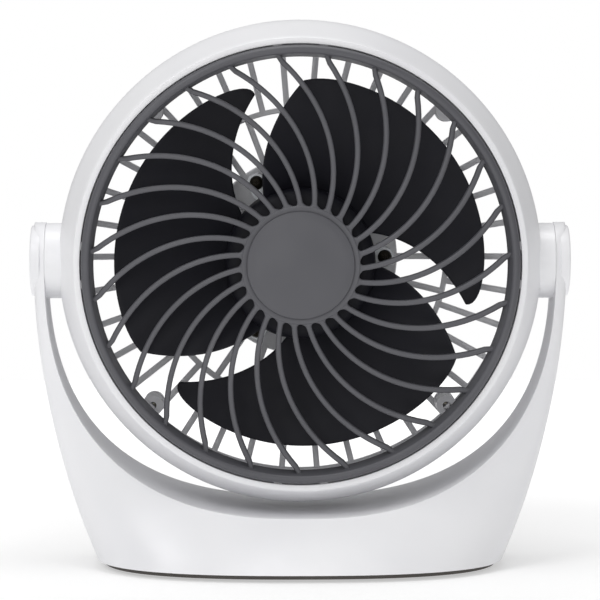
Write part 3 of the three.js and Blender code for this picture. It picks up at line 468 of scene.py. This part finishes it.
BUTTON_RADIUS = 13.8
BUTTON_FOOT = 101.0  # from the middle of the fan, let into the arm
BUTTON_TOP = 104.65
for name, side in (("left", -1), ("right", 1)):
    bm = spun([(0, BUTTON_FOOT), (BUTTON_RADIUS, BUTTON_FOOT), (BUTTON_RADIUS, BUTTON_TOP - 0.7),
               (BUTTON_RADIUS - 0.15, BUTTON_TOP - 0.35), (BUTTON_RADIUS - 0.5, BUTTON_TOP - 0.1),
               (BUTTON_RADIUS - 1.1, BUTTON_TOP), (9.4, BUTTON_TOP), (9.1, BUTTON_TOP - 0.15),
               (8.8, BUTTON_TOP), (0, BUTTON_TOP)], turns=72, axis="X", centre=(0, 0, AXIS))
    if side < 0:
        bmesh.ops.scale(bm, vec=(-1, 1, 1), verts=bm.verts)
        bmesh.ops.recalc_face_normals(bm, faces=bm.faces)
    button = finished(f"pivot_button_{name}", bm, white_abs)
    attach(button, "base")
    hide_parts(f"pivot_cap_{name}")

# ---- Drum ------------------------------------------------------------------------------------
# The white ring that is the fan's head: a barrel-shaped moulding with a flat front lip, a shelf
# inside for the grille, four hollow screw posts and a round boss on each side for the pivots.

DRUM_FRONT = -29.0
DRUM_REAR = 26.0
DRUM_WIDEST = 93.7
DRUM_REAR_RADIUS = 88.5
CONE_START = 0.42  # share of the way from the tilt axis to the lip
CONE_SOFTNESS = 0.02  # how gently the barrel turns into the cone
LIP_INNER = 84.4
LIP_OUTER = 86.8
DRUM_WALL = 2.2
LIP_ROUNDING = 0.35
BOSS_RADIUS = 14.65
BOSS_ROOT = 91.7
BOSS_END = 98.9
BOSS_ROUNDING = 0.25
SHELF_INNER = 79.9
SHELF_FRONT = -22.2
SHELF_REAR = -20.2
POST_BORE = 1.4
POST_RADIUS = 4.0
POST_FRONT = 9.5
POST_REAR = 20.5
WEB_WIDTH = 3.0  # of the web that joins a post to the drum's wall
WEB_HEIGHT = 8.6
KEY_SIZE = (3.2, 4.6, 0.9)  # of the small keys that stop the grille from turning
KEY_MIDDLE = (0, -25.6, 84.5)
KEY_ANGLES = (-6, 6, 85, 95, 174, 186, 265, 275)


def drum_radius(y):
    if y > 0:
        return mix(DRUM_WIDEST, DRUM_REAR_RADIUS, (y / DRUM_REAR) ** 2)
    along = (y / DRUM_FRONT - CONE_START) / (1 - CONE_START)
    return mix(DRUM_WIDEST, LIP_OUTER, (along + math.sqrt(along**2 + CONE_SOFTNESS)) / 2)


def adopt(bm, other):
    """Moves another modelled piece into bm."""
    joining = bpy.data.meshes.new("joining")
    other.to_mesh(joining)
    other.free()
    bm.from_mesh(joining)
    bpy.data.meshes.remove(joining)


def set_round(bm, verts, degrees):
    """Turns what was modelled upright at the origin about the fan's axis, and lifts it to the axis."""
    bmesh.ops.rotate(bm, cent=(0, 0, 0), matrix=Matrix.Rotation(math.radians(degrees), 3, "Y"),
                     verts=verts)
    bmesh.ops.translate(bm, vec=(0, 0, AXIS), verts=verts)


lip = [(middle + side * LIP_ROUNDING * math.cos(turn), DRUM_FRONT + LIP_ROUNDING * (1 - math.sin(turn)))
       for side, middle, turns in ((-1, LIP_INNER + LIP_ROUNDING, (0, 30, 60, 90)),
                                   (1, LIP_OUTER - LIP_ROUNDING, (90, 60, 30)))
       for turn in map(math.radians, turns)]
outside = [(drum_radius(y), y) for y in
           [DRUM_FRONT + LIP_ROUNDING + (DRUM_REAR - DRUM_FRONT - 1.3) * step / 28
            for step in range(29)]]
rear_edge = [(DRUM_REAR_RADIUS - 0.35, DRUM_REAR - 0.3), (DRUM_REAR_RADIUS - 0.9, DRUM_REAR),
             (DRUM_REAR_RADIUS - DRUM_WALL + 0.3, DRUM_REAR)]
inside = [(drum_radius(y) - DRUM_WALL, y) for y in (25, 20, 12, 4, -4, -12, -17)]
shelf = [(LIP_INNER, SHELF_REAR), (SHELF_INNER, SHELF_REAR), (SHELF_INNER, SHELF_FRONT),
         (LIP_INNER, SHELF_FRONT)]
bm = spun(lip + outside + rear_edge + inside + shelf, turns=192, axis="Y", centre=(0, 0, AXIS))
for side in (-1, 1):
    boss = spun([(0, BOSS_ROOT), (BOSS_RADIUS, BOSS_ROOT), (BOSS_RADIUS, BOSS_END - BOSS_ROUNDING),
                 (BOSS_RADIUS - BOSS_ROUNDING, BOSS_END), (0, BOSS_END)], turns=72, axis="X",
                centre=(0, 0, AXIS))
    bmesh.ops.scale(boss, vec=(side, 1, 1), verts=boss.verts)
    bmesh.ops.recalc_face_normals(boss, faces=boss.faces)
    adopt(bm, boss)
for degrees in QUARTERS:
    x, z = on_face(POST_CIRCLE, degrees)
    adopt(bm, spun([(POST_BORE, POST_FRONT), (POST_RADIUS, POST_FRONT), (POST_RADIUS, POST_REAR),
                    (POST_BORE, POST_REAR)], turns=28, axis="Y", centre=(x, 0, z)))
    web = block(bm, (WEB_WIDTH, POST_REAR - POST_FRONT, WEB_HEIGHT),
                (0, (POST_REAR + POST_FRONT) / 2, POST_CIRCLE + WEB_HEIGHT / 2))
    set_round(bm, web, degrees)
for degrees in KEY_ANGLES:
    set_round(bm, block(bm, KEY_SIZE, KEY_MIDDLE), degrees)
drum = finished("drum_moulding", bm, white_abs)
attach(drum, "head")
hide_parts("drum")

# ---- Front grille ----------------------------------------------------------------------------
# One grey ABS moulding that clips into the drum: a rounded outer ring, a round seat for the cap in
# the middle, and twenty-seven flat spokes that swirl anticlockwise on their way out.

GRILLE_RADIUS = 84.0
RING_INNER = 79.4
RING_FRONT = -31.0
RING_REAR = -22.5
SPOKES = 27
SPOKE_WIDTH = 2.1
SPOKE_DEPTH = 3.4
SPOKE_FRONT = -28.8
SPOKE_SET_BACK = 1.2  # how far the spokes fall back towards the ring
SPOKE_START = 7.05  # degrees clockwise from the top, at the ring
SPOKE_SWEEP = 32.5  # degrees anticlockwise, from the seat to the ring
SPOKE_CURVE = 1.16
SPOKE_ROOT = 22.3
SPOKE_END = 80.4
SPOKE_ROUNDING = 0.26
SPOKE_CUTS = 35
CROWDING = 1.6  # above 1 the cuts lie closer together near the seat
SEAT_RADIUS = 22.7
SEAT_FRONT = -29.15
SEAT_REAR = -25.4
FILLET = 1.5  # where a spoke spreads into the seat

# Grey ABS in a fine spark-eroded grain, which keeps it satin rather than shiny.
grey_abs = moulded_plastic("grey_moulded_abs", 0x56565B, 0x4F4F54, 0.45, 7.0, (0.42, 0.55))


def spoke_point(radius, across, depth):
    """A point of the first spoke: across from its middle line, depth behind its front."""
    def middle(r):
        share = min(1.0, max(0.0, (r - SEAT_RADIUS) / (RING_INNER - SEAT_RADIUS)))
        angle = math.radians(SPOKE_START + SPOKE_SWEEP * (1 - share**SPOKE_CURVE))
        return Vector((r * math.sin(angle), 0, r * math.cos(angle))), share
    here, share = middle(radius)
    short = max(0.0, FILLET - max(0.0, radius - SEAT_RADIUS))
    across += math.copysign(FILLET - math.sqrt(FILLET**2 - short**2), across) if across else 0.0
    ahead = (middle(radius + 0.4)[0] - here).normalized()
    return here + Vector((ahead.z, 0, -ahead.x)) * across + Vector(
        (0, SPOKE_FRONT + SPOKE_SET_BACK * share**2 + depth, 0))


def edges_along(bm, axis):
    """The edges that run along an axis by its number, of a block modelled at unit size or more."""
    return [edge for edge in bm.edges if abs(edge.verts[0].co[axis] - edge.verts[1].co[axis]) > 0.5]


def repeat_round(bm, part, count, start=0.0):
    """Adds evenly spaced copies of a part, modelled upright at the origin, round the fan's axis."""
    single = bpy.data.meshes.new("single")
    part.to_mesh(single)
    part.free()
    for number in range(count):
        before = len(bm.verts)
        bm.from_mesh(single)
        bm.verts.ensure_lookup_table()
        set_round(bm, bm.verts[before:], (number + start) * 360 / count)
    bpy.data.meshes.remove(single)


arch = [(RING_INNER + outward, RING_FRONT + behind) for outward, behind in (
    (1.15, 1.6), (1.3, 0.9), (1.65, 0.35), (2.2, 0.05), (2.7, 0), (3.2, 0.1), (3.8, 0.4),
    (4.25, 0.9), (4.5, 1.5))]
bm = spun([(RING_INNER, RING_REAR)] + arch + [(GRILLE_RADIUS, RING_FRONT + 2.3),
          (GRILLE_RADIUS, RING_REAR)], turns=192, axis="Y", centre=(0, 0, AXIS))
adopt(bm, spun([(0, SEAT_REAR), (0, SEAT_REAR - 1.3), (20.56, SEAT_REAR - 1.3),
                (20.56, SEAT_FRONT + 0.15), (20.8, SEAT_FRONT), (22.4, SEAT_FRONT + 0.05),
                (SEAT_RADIUS, SEAT_FRONT + 0.3), (SEAT_RADIUS, SEAT_REAR)], turns=96, axis="Y",
               centre=(0, 0, AXIS)))
spoke = bmesh.new()
bmesh.ops.create_cube(spoke, size=1.0)
front_edges = [edge for edge in edges_along(spoke, 2) if edge.verts[0].co.y < 0]
bmesh.ops.bevel(spoke, geom=front_edges, offset=SPOKE_ROUNDING, affect="EDGES", segments=3,
                profile=0.5, material=-1)
bmesh.ops.subdivide_edges(spoke, edges=edges_along(spoke, 2), cuts=SPOKE_CUTS, use_grid_fill=True)
for vert in spoke.verts:
    vert.co = spoke_point(mix(SPOKE_ROOT, SPOKE_END, (vert.co.z + 0.5) ** CROWDING),
                          vert.co.x * SPOKE_WIDTH, (vert.co.y + 0.5) * SPOKE_DEPTH)
repeat_round(bm, spoke, SPOKES)
bmesh.ops.recalc_face_normals(bm, faces=bm.faces)
grille = finished("grille_moulding", bm, grey_abs)
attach(grille, "head")
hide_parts("front_grille")

# ---- Centre cap ------------------------------------------------------------------------------
# A plain grey disc, slightly domed, snapped into the seat in the middle of the grille. A fine
# bevel runs round its edge.

CAP_RADIUS = 20.65
CAP_REAR = -27.0
CAP_DOME = [(1 - step / 5, depth) for step, depth in
            enumerate((-30.1, -30.38, -30.55, -30.66, -30.7), 1)]  # share of the radius, place
bm = spun([(0, CAP_REAR), (CAP_RADIUS, CAP_REAR), (CAP_RADIUS, -29.35), (CAP_RADIUS - 0.2, -29.7),
           (CAP_RADIUS - 0.65, -29.9)] + [(CAP_RADIUS * share, place) for share, place in CAP_DOME],
          turns=96, axis="Y", centre=(0, 0, AXIS))
cap = finished("centre_disc", bm, grey_abs)
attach(cap, "head")
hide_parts("centre_cap")

# ---- Impeller --------------------------------------------------------------------------------
# Three broad, curved blades and a round hub in one moulding, in blue-black ABS with a low sheen.
# The hub is a cup that covers the front of the motor.

HUB_RADIUS = 29.0
HUB_FRONT = -21.5
HUB_REAR = 3.0
BLADE_TIP = 72.0
BLADE_FRONT = -19.0
BLADE_THICKNESS = 1.6
BLADES = 3
TRAILING_EDGE = {"root": -30, "sweep": 0.733}  # degrees at the hub, degrees for each mm outward
LEADING_EDGE = {"root": 67.5, "sweep": 0.96}
BLADE_DEPTH = {"root": 20.5, "tip": 17.0}
BLADE_TWIST = 1.35  # above 1 the trailing edge is the steeper one
LEADING_CORNER = {"rounding": 5, "squareness": 20}
TRAILING_CORNER = {"rounding": 1.6, "squareness": 28}

# Blue-black ABS from a lightly textured tool.
blue_black_abs = moulded_plastic("blue_black_moulded_abs", 0x15151F, 0x111119, 0.6, 6.0,
                                 (0.5, 0.62), ior=1.36)


def blade_point(around, out):
    """A point of the blade's rear face, by its shares from trailing to leading edge and outward."""
    rounding = (LEADING_CORNER["rounding"] * around ** LEADING_CORNER["squareness"]
                + TRAILING_CORNER["rounding"] * (1 - around) ** TRAILING_CORNER["squareness"])
    radius = mix(HUB_RADIUS - 1, BLADE_TIP - rounding, out)
    past = radius - HUB_RADIUS + 1
    angle = math.radians(mix(TRAILING_EDGE["root"] + TRAILING_EDGE["sweep"] * past,
                             LEADING_EDGE["root"] + LEADING_EDGE["sweep"] * past, around))
    depth = mix(BLADE_DEPTH["root"], BLADE_DEPTH["tip"], out) * (1 - (1 - around) ** BLADE_TWIST)
    return Vector((radius * math.sin(angle), BLADE_FRONT + depth + BLADE_THICKNESS,
                   radius * math.cos(angle)))


bm = spun([(1.8, HUB_FRONT), (HUB_RADIUS - 4, HUB_FRONT), (HUB_RADIUS - 2.4, HUB_FRONT + 0.35),
           (HUB_RADIUS - 1, HUB_FRONT + 1.3), (HUB_RADIUS - 0.3, HUB_FRONT + 2.5),
           (HUB_RADIUS, HUB_FRONT + 4), (HUB_RADIUS, HUB_REAR), (HUB_RADIUS - 2, HUB_REAR),
           (HUB_RADIUS - 2, HUB_FRONT + 3), (HUB_RADIUS - 5, HUB_FRONT + 2),
           (4.5, HUB_FRONT + 2), (4.5, HUB_FRONT + 4), (1.8, HUB_FRONT + 4)], turns=96, axis="Y",
          centre=(0, 0, AXIS))
blade = bmesh.new()
bmesh.ops.create_grid(blade, x_segments=64, y_segments=26, size=0.5)
for vert in blade.verts:
    vert.co = blade_point(vert.co.x + 0.5, vert.co.y + 0.5)
front = bmesh.ops.extrude_face_region(blade, geom=blade.faces[:])["geom"]
bmesh.ops.translate(blade, vec=(0, -BLADE_THICKNESS, 0),
                    verts=[item for item in front if isinstance(item, bmesh.types.BMVert)])
bmesh.ops.recalc_face_normals(blade, faces=blade.faces)
rim = [edge for edge in blade.edges if edge.calc_face_angle(0) > math.radians(50)]
bmesh.ops.bevel(blade, geom=rim, offset=0.45, affect="EDGES", segments=2, profile=0.5,
                material=-1)
repeat_round(bm, blade, BLADES)
impeller = finished("impeller_moulding", bm, blue_black_abs, sharp=40)
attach(impeller, "impeller")
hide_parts("impeller")

# ---- Rear grille -----------------------------------------------------------------------------
# One white ABS moulding behind the impeller: a round plate that carries the motor, a middle ring,
# a rim screwed to the drum's posts, and straight ribs between them.

PLATE_RADIUS = 39.0
PLATE_FRONT = 25.4
PLATE_REAR = 28.0
RIM_RADIUS = 86.0
RIM_WIDTH = 1.6
RIM_REAR = 24.0
MIDDLE_RING = 58.6
MIDDLE_RING_HALF_WIDTH = 1.05
REAR_BOSS_CIRCLE = 81.6
INNER_RIBS = 26
OUTER_RIBS = 38
RIB_WIDTH = 2.4
RIB_DEPTH = 3.2
RIB_ROUNDING = 0.14


def rear_surface(radius):
    return mix(PLATE_REAR, RIM_REAR, ((radius - PLATE_RADIUS) / (RIM_RADIUS - PLATE_RADIUS)) ** 2)


def soft_ring(inner, outer, front, rear, soft=0.5):
    return spun([(inner, front + soft), (inner + soft, front), (outer - soft, front),
                 (outer, front + soft), (outer, rear - soft), (outer - soft, rear),
                 (inner + soft, rear), (inner, rear - soft)], turns=144, axis="Y",
                centre=(0, 0, AXIS))


bm = soft_ring(RIM_RADIUS - RIM_WIDTH, RIM_RADIUS, RIM_REAR - RIB_DEPTH, RIM_REAR, 0.3)
middle_rear = rear_surface(MIDDLE_RING)
adopt(bm, soft_ring(MIDDLE_RING - MIDDLE_RING_HALF_WIDTH, MIDDLE_RING + MIDDLE_RING_HALF_WIDTH,
                    middle_rear - RIB_DEPTH, middle_rear, 0.3))
adopt(bm, soft_ring(6.0, PLATE_RADIUS, PLATE_FRONT, PLATE_REAR))
for first_radius, last_radius, count in ((PLATE_RADIUS - 1, MIDDLE_RING, INNER_RIBS),
                                         (MIDDLE_RING, RIM_RADIUS - RIM_WIDTH + 1, OUTER_RIBS)):
    rib = bmesh.new()
    bmesh.ops.create_cube(rib, size=1.0)
    bmesh.ops.bevel(rib, geom=edges_along(rib, 2), offset=RIB_ROUNDING, affect="EDGES", segments=2,
                    profile=0.5, material=-1)
    bmesh.ops.subdivide_edges(rib, edges=edges_along(rib, 2), cuts=5, use_grid_fill=True)
    for vert in rib.verts:
        radius = mix(first_radius, last_radius, vert.co.z + 0.5)
        vert.co = (vert.co.x * RIB_WIDTH, rear_surface(radius) - (0.5 - vert.co.y) * RIB_DEPTH,
                   radius)
    repeat_round(bm, rib, count, start=0.5)
for degrees in QUARTERS:
    x, z = on_face(REAR_BOSS_CIRCLE, degrees)
    round_bar(bm, POST_RADIUS, (x, RIM_REAR - RIB_DEPTH + 0.02, z), (x, RIM_REAR - 0.02, z), axis="Y")
bmesh.ops.recalc_face_normals(bm, faces=bm.faces)
rear_grille = finished("rear_grille_moulding", bm, white_abs)
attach(rear_grille, "head")
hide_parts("rear_grille")

# ---- Back housing ----------------------------------------------------------------------------
# A shallow round cup in white ABS, screwed on behind the motor. It carries the speed knob, and the
# power socket sits in a slot below it.

HOUSING_FRONT = 28.3
HOUSING_REAR = 42.3
HOUSING_WALL = 1.8
HOUSING_ROUNDING = 3
SOCKET_DROP = -24.0
SOCKET_SLOT = (9.6, 20.0, 4.0)
SLOT_ROUNDING = 1.9
SPINDLE_HOLE = 3.4
SCREW_HOLE = 1.8
HOLE_FRONT, HOLE_REAR = 30, 50  # the drills pass right through the housing's rear wall
DOT_CIRCLE = 17.0  # four raised dots mark the knob's places
DOT_RADIUS = 0.9
corner = [(PLATE_RADIUS - HOUSING_ROUNDING + HOUSING_ROUNDING * math.sin(math.pi / 2 * step / 8),
           HOUSING_REAR - HOUSING_ROUNDING + HOUSING_ROUNDING * math.cos(math.pi / 2 * step / 8))
          for step in range(9)]
bm = spun([(0, HOUSING_REAR)] + corner + [
    (PLATE_RADIUS, HOUSING_FRONT), (PLATE_RADIUS - HOUSING_WALL, HOUSING_FRONT),
    (PLATE_RADIUS - HOUSING_WALL, HOUSING_REAR - HOUSING_ROUNDING),
    (PLATE_RADIUS - HOUSING_ROUNDING, HOUSING_REAR - HOUSING_WALL),
    (0, HOUSING_REAR - HOUSING_WALL)], turns=128, axis="Y", centre=(0, 0, AXIS))
tool = bmesh.new()
block(tool, SOCKET_SLOT, (0, HOUSING_REAR, AXIS + SOCKET_DROP))
bmesh.ops.bevel(tool, geom=edges_along(tool, 1), offset=SLOT_ROUNDING, affect="EDGES", segments=6,
                profile=0.5, material=-1)
round_bar(tool, SPINDLE_HOLE, (0, HOLE_FRONT, AXIS), (0, HOLE_REAR, AXIS), axis="Y")
for x in HOUSING_SCREWS.values():
    round_bar(tool, SCREW_HOLE, (x, HOLE_FRONT, AXIS), (x, HOLE_REAR, AXIS), sides=24, axis="Y")
bm = carved(bm, tool)
for degrees in (67.5, 22.5, -22.5, -67.5):
    x, z = on_face(DOT_CIRCLE, degrees)
    round_bar(bm, DOT_RADIUS, (x, HOUSING_REAR - 0.3, z), (x, HOUSING_REAR + 0.25, z), sides=20,
              axis="Y")
housing = finished("back_housing", bm, white_abs)
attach(housing, "head")
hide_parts("rear_housing")

# ---- Speed knob ------------------------------------------------------------------------------
# A small grey ABS knob with a round skirt, a raised bar for the fingers and a white pointer line
# let into the bar's end.

KNOB_RADIUS = 12.5
KNOB_FRONT = 42.7
KNOB_REAR = 50.0
SKIRT_REAR = KNOB_FRONT + 3.0
GRIP_FRONT = KNOB_FRONT + 2.0
GRIP_WIDTH = 5.0
GRIP_LENGTH = 21.6
GRIP_TAPER = {"width": 0.72, "length": 0.93}
bm = spun([(0, KNOB_FRONT), (KNOB_RADIUS - 0.3, KNOB_FRONT), (KNOB_RADIUS, KNOB_FRONT + 0.3),
           (KNOB_RADIUS, SKIRT_REAR - 0.8), (KNOB_RADIUS - 0.25, SKIRT_REAR - 0.25),
           (KNOB_RADIUS - 0.8, SKIRT_REAR), (0, SKIRT_REAR)], turns=72, axis="Y",
          centre=(0, 0, AXIS))
grip = bmesh.new()
bar = block(grip, (GRIP_WIDTH, KNOB_REAR - GRIP_FRONT, GRIP_LENGTH),
            (0, (KNOB_REAR + GRIP_FRONT) / 2, AXIS))
for vert in bar:
    if vert.co.y > GRIP_FRONT + 1:
        vert.co.x *= GRIP_TAPER["width"]
        vert.co.z = AXIS + (vert.co.z - AXIS) * GRIP_TAPER["length"]
bmesh.ops.bevel(grip, geom=grip.edges[:], offset=0.9, affect="EDGES", segments=4, profile=0.5,
                material=-1)
adopt(bm, grip)
knob = finished("dial_knob", bm, grey_abs)
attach(knob, "knob")
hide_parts("speed_knob")

POINTER_SIZE = (0.9, 0.4, 6.0)
bm = bmesh.new()
block(bm, POINTER_SIZE, (0, KNOB_REAR - 0.22, AXIS + 5.6))
bmesh.ops.bevel(bm, geom=bm.edges[:], offset=0.12, affect="EDGES", segments=2, profile=0.5,
                material=-1)
pointer = finished("dial_pointer", bm, white_abs)
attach(pointer, "knob")

# ---- Metal and electrical parts --------------------------------------------------------------
# The parts that the mouldings carry: a pressed steel motor can on a steel mount, its copper
# winding, turned brass bushes and inserts, the switch, the socket and its small circuit board.

# Sheet steel with a dull zinc skin gives soft grey glints, turned brass a warm yellow, and mild steel
# bar a dull brownish grey.
sheet_steel = metal("drawn_zinc_steel", 0xC6C8CA, 0xA9ACB0, 3.0, 0.3, 0.5)
brass = metal("turned_brass", 0xC9AA5E, 0xA98942, 1.2, 0.28, 0.45)
ballast_steel = metal("mild_steel_bar", 0x8F8C88, 0x6F6C69, 6.0, 0.45, 0.7)

# Enamelled copper wire, wound in close turns round the motor's axis: glossy red-brown stripes.
WIRE_THICKNESS = 0.3
copper = new_material("enamelled_copper_wire")
place = node(copper, "ShaderNodeTexCoord").outputs["Object"]
turns = node(copper, "ShaderNodeTexWave", {"wave_type": "BANDS", "bands_direction": "Y",
             "Scale": 1000 / WIRE_THICKNESS / 20, "Distortion": 1.5, "Detail": 2.0}, {"Vector": place})
tint = node(copper, "ShaderNodeValToRGB", {}, {"Fac": turns.outputs["Fac"]})
tint.color_ramp.elements[0].color = linear(0x6E3A20)
tint.color_ramp.elements[1].color = linear(0xB8703F)
wire = node(copper, "ShaderNodeBump", {"Strength": 1.0, "Distance": 0.0001},
            {"Height": turns.outputs["Fac"]})
surface = node(copper, "ShaderNodeBsdfPrincipled", {"Metallic": 0.8, "Roughness": 0.35,
               "Coat Weight": 0.5}, {"Base Color": tint.outputs["Color"],
               "Normal": wire.outputs["Normal"]})
node(copper, "ShaderNodeOutputMaterial", {}, {"Surface": surface.outputs["BSDF"]})

# Glass-epoxy circuit board under green solder mask, with the weave just showing.
board = moulded_plastic("green_solder_mask", 0x2F7048, 0x255C3B, 0.8, 8.0, (0.3, 0.45))

for name, finish in (
        ("ballast_plate", ballast_steel), ("ballast_screw_left", zinc),
        ("ballast_screw_right", zinc), ("friction_washer_left", rubber),
        ("friction_washer_right", rubber), ("pivot_insert_left", brass),
        ("pivot_insert_right", brass), ("pivot_bolt_left", zinc), ("pivot_bolt_right", zinc),
        ("motor_case", sheet_steel), ("motor_mount", sheet_steel), ("front_bush", brass),
        ("rear_bush", brass), ("stator_winding", copper), ("motor_shaft", sheet_steel),
        ("hub_nut", zinc), ("rotor", ballast_steel), ("speed_switch", dark_plastic),
        ("switch_spindle", sheet_steel), ("power_socket", sheet_steel), ("socket_board", board)):
    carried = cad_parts[name]
    carried.data.materials.clear()
    carried.data.materials.append(finish)

# ---- Floor, light and camera -----------------------------------------------------------------
# A white sweep under soft studio light: a large key from the upper left, a light from above, a
# weak one from the front, and a bright surround. The camera stands slightly above and to the left.

SWEEP_RADIUS = 0.7  # metres, as are all sizes from here on
# Painted light: the sweep glows by itself, weakly near the fan, where it shows grey, and more strongly
# from 0.42 m out, where it shows white. Its glow also lights the fan from below.
SWEEP_GLOW = {"From Min": 0.12, "From Max": 0.42, "To Min": 0.46, "To Max": 0.8}  # by distance
bm = bmesh.new()
bmesh.ops.create_circle(bm, cap_ends=True, radius=SWEEP_RADIUS, segments=64)
sweep_paper = new_material("glowing_white_sweep")
place = node(sweep_paper, "ShaderNodeTexCoord").outputs["Object"]
fibre = node(sweep_paper, "ShaderNodeTexNoise", {"Scale": 400.0, "Detail": 3.0},
             {"Vector": place})
shade = node(sweep_paper, "ShaderNodeValToRGB", {}, {"Fac": fibre.outputs["Fac"]})
shade.color_ramp.elements[0].color = linear(0xCACACA)
shade.color_ramp.elements[1].color = linear(0xD2D2D2)
distance = node(sweep_paper, "ShaderNodeVectorMath", {"operation": "LENGTH"}, {"Vector": place})
# Painted light: the sweep's glow, by distance from the middle of the fan.
glow = node(sweep_paper, "ShaderNodeMapRange", SWEEP_GLOW, {"Value": distance.outputs["Value"]})
surface = node(sweep_paper, "ShaderNodeBsdfPrincipled", {"Roughness": 0.9,
               "Specular IOR Level": 0.1, "Emission Color": (1, 1, 1, 1)},
               {"Base Color": shade.outputs["Color"], "Emission Strength": glow.outputs["Result"]})
node(sweep_paper, "ShaderNodeOutputMaterial", {}, {"Surface": surface.outputs["BSDF"]})
mesh = bpy.data.meshes.new("sweep")
bm.to_mesh(mesh)
bm.free()
mesh.materials.append(sweep_paper)
sweep = bpy.data.objects.new("sweep", mesh)
bpy.context.scene.collection.objects.link(sweep)

AIM = Vector((0, 0, 0.1035))
SURROUND = 0.32  # how much light the surround gives, where the camera sees it as 1


def soft_light(name, place, size, power):
    light = bpy.data.lights.new(name, "AREA")
    light.shape, light.size, light.energy = "DISK", size, power
    holder = bpy.data.objects.new(name, light)
    holder.location = place
    holder.rotation_euler = (AIM - holder.location).to_track_quat("-Z", "Y").to_euler()
    bpy.context.scene.collection.objects.link(holder)


soft_light("key", place=Vector((-0.95, -1.1, 1.45)), size=0.9, power=8.6)
soft_light("top", place=Vector((0, -0.1, 1.5)), size=0.8, power=8.4)
soft_light("front", place=Vector((-0.15, -1.6, 0.35)), size=0.7, power=3.4)

world = bpy.data.worlds.new("surround")
bpy.context.scene.world = world
world.use_nodes = True
world.node_tree.nodes.clear()
ray = node(world, "ShaderNodeLightPath").outputs["Is Camera Ray"]
strength = node(world, "ShaderNodeMapRange", {"To Min": SURROUND, "To Max": 1.0}, {"Value": ray})
backdrop = node(world, "ShaderNodeBackground", {"Color": (1, 1, 1, 1)},
                {"Strength": strength.outputs["Result"]})
node(world, "ShaderNodeOutputWorld", {}, {"Surface": backdrop.outputs["Background"]})

ELEVATION, AZIMUTH, DISTANCE = math.radians(4.5), math.radians(-0.7), 1.2
lens = bpy.data.cameras.new("camera")
lens.sensor_width, lens.lens = 36.0, 184.1
camera = bpy.data.objects.new("camera", lens)
camera.location = AIM + DISTANCE * Vector((math.sin(AZIMUTH) * math.cos(ELEVATION),
                                           -math.cos(AZIMUTH) * math.cos(ELEVATION),
                                           math.sin(ELEVATION)))
camera.rotation_euler = (AIM - camera.location).to_track_quat("-Z", "Y").to_euler()
bpy.context.scene.collection.objects.link(camera)
bpy.context.scene.camera = camera
bpy.context.scene.view_settings.view_transform = "Standard"
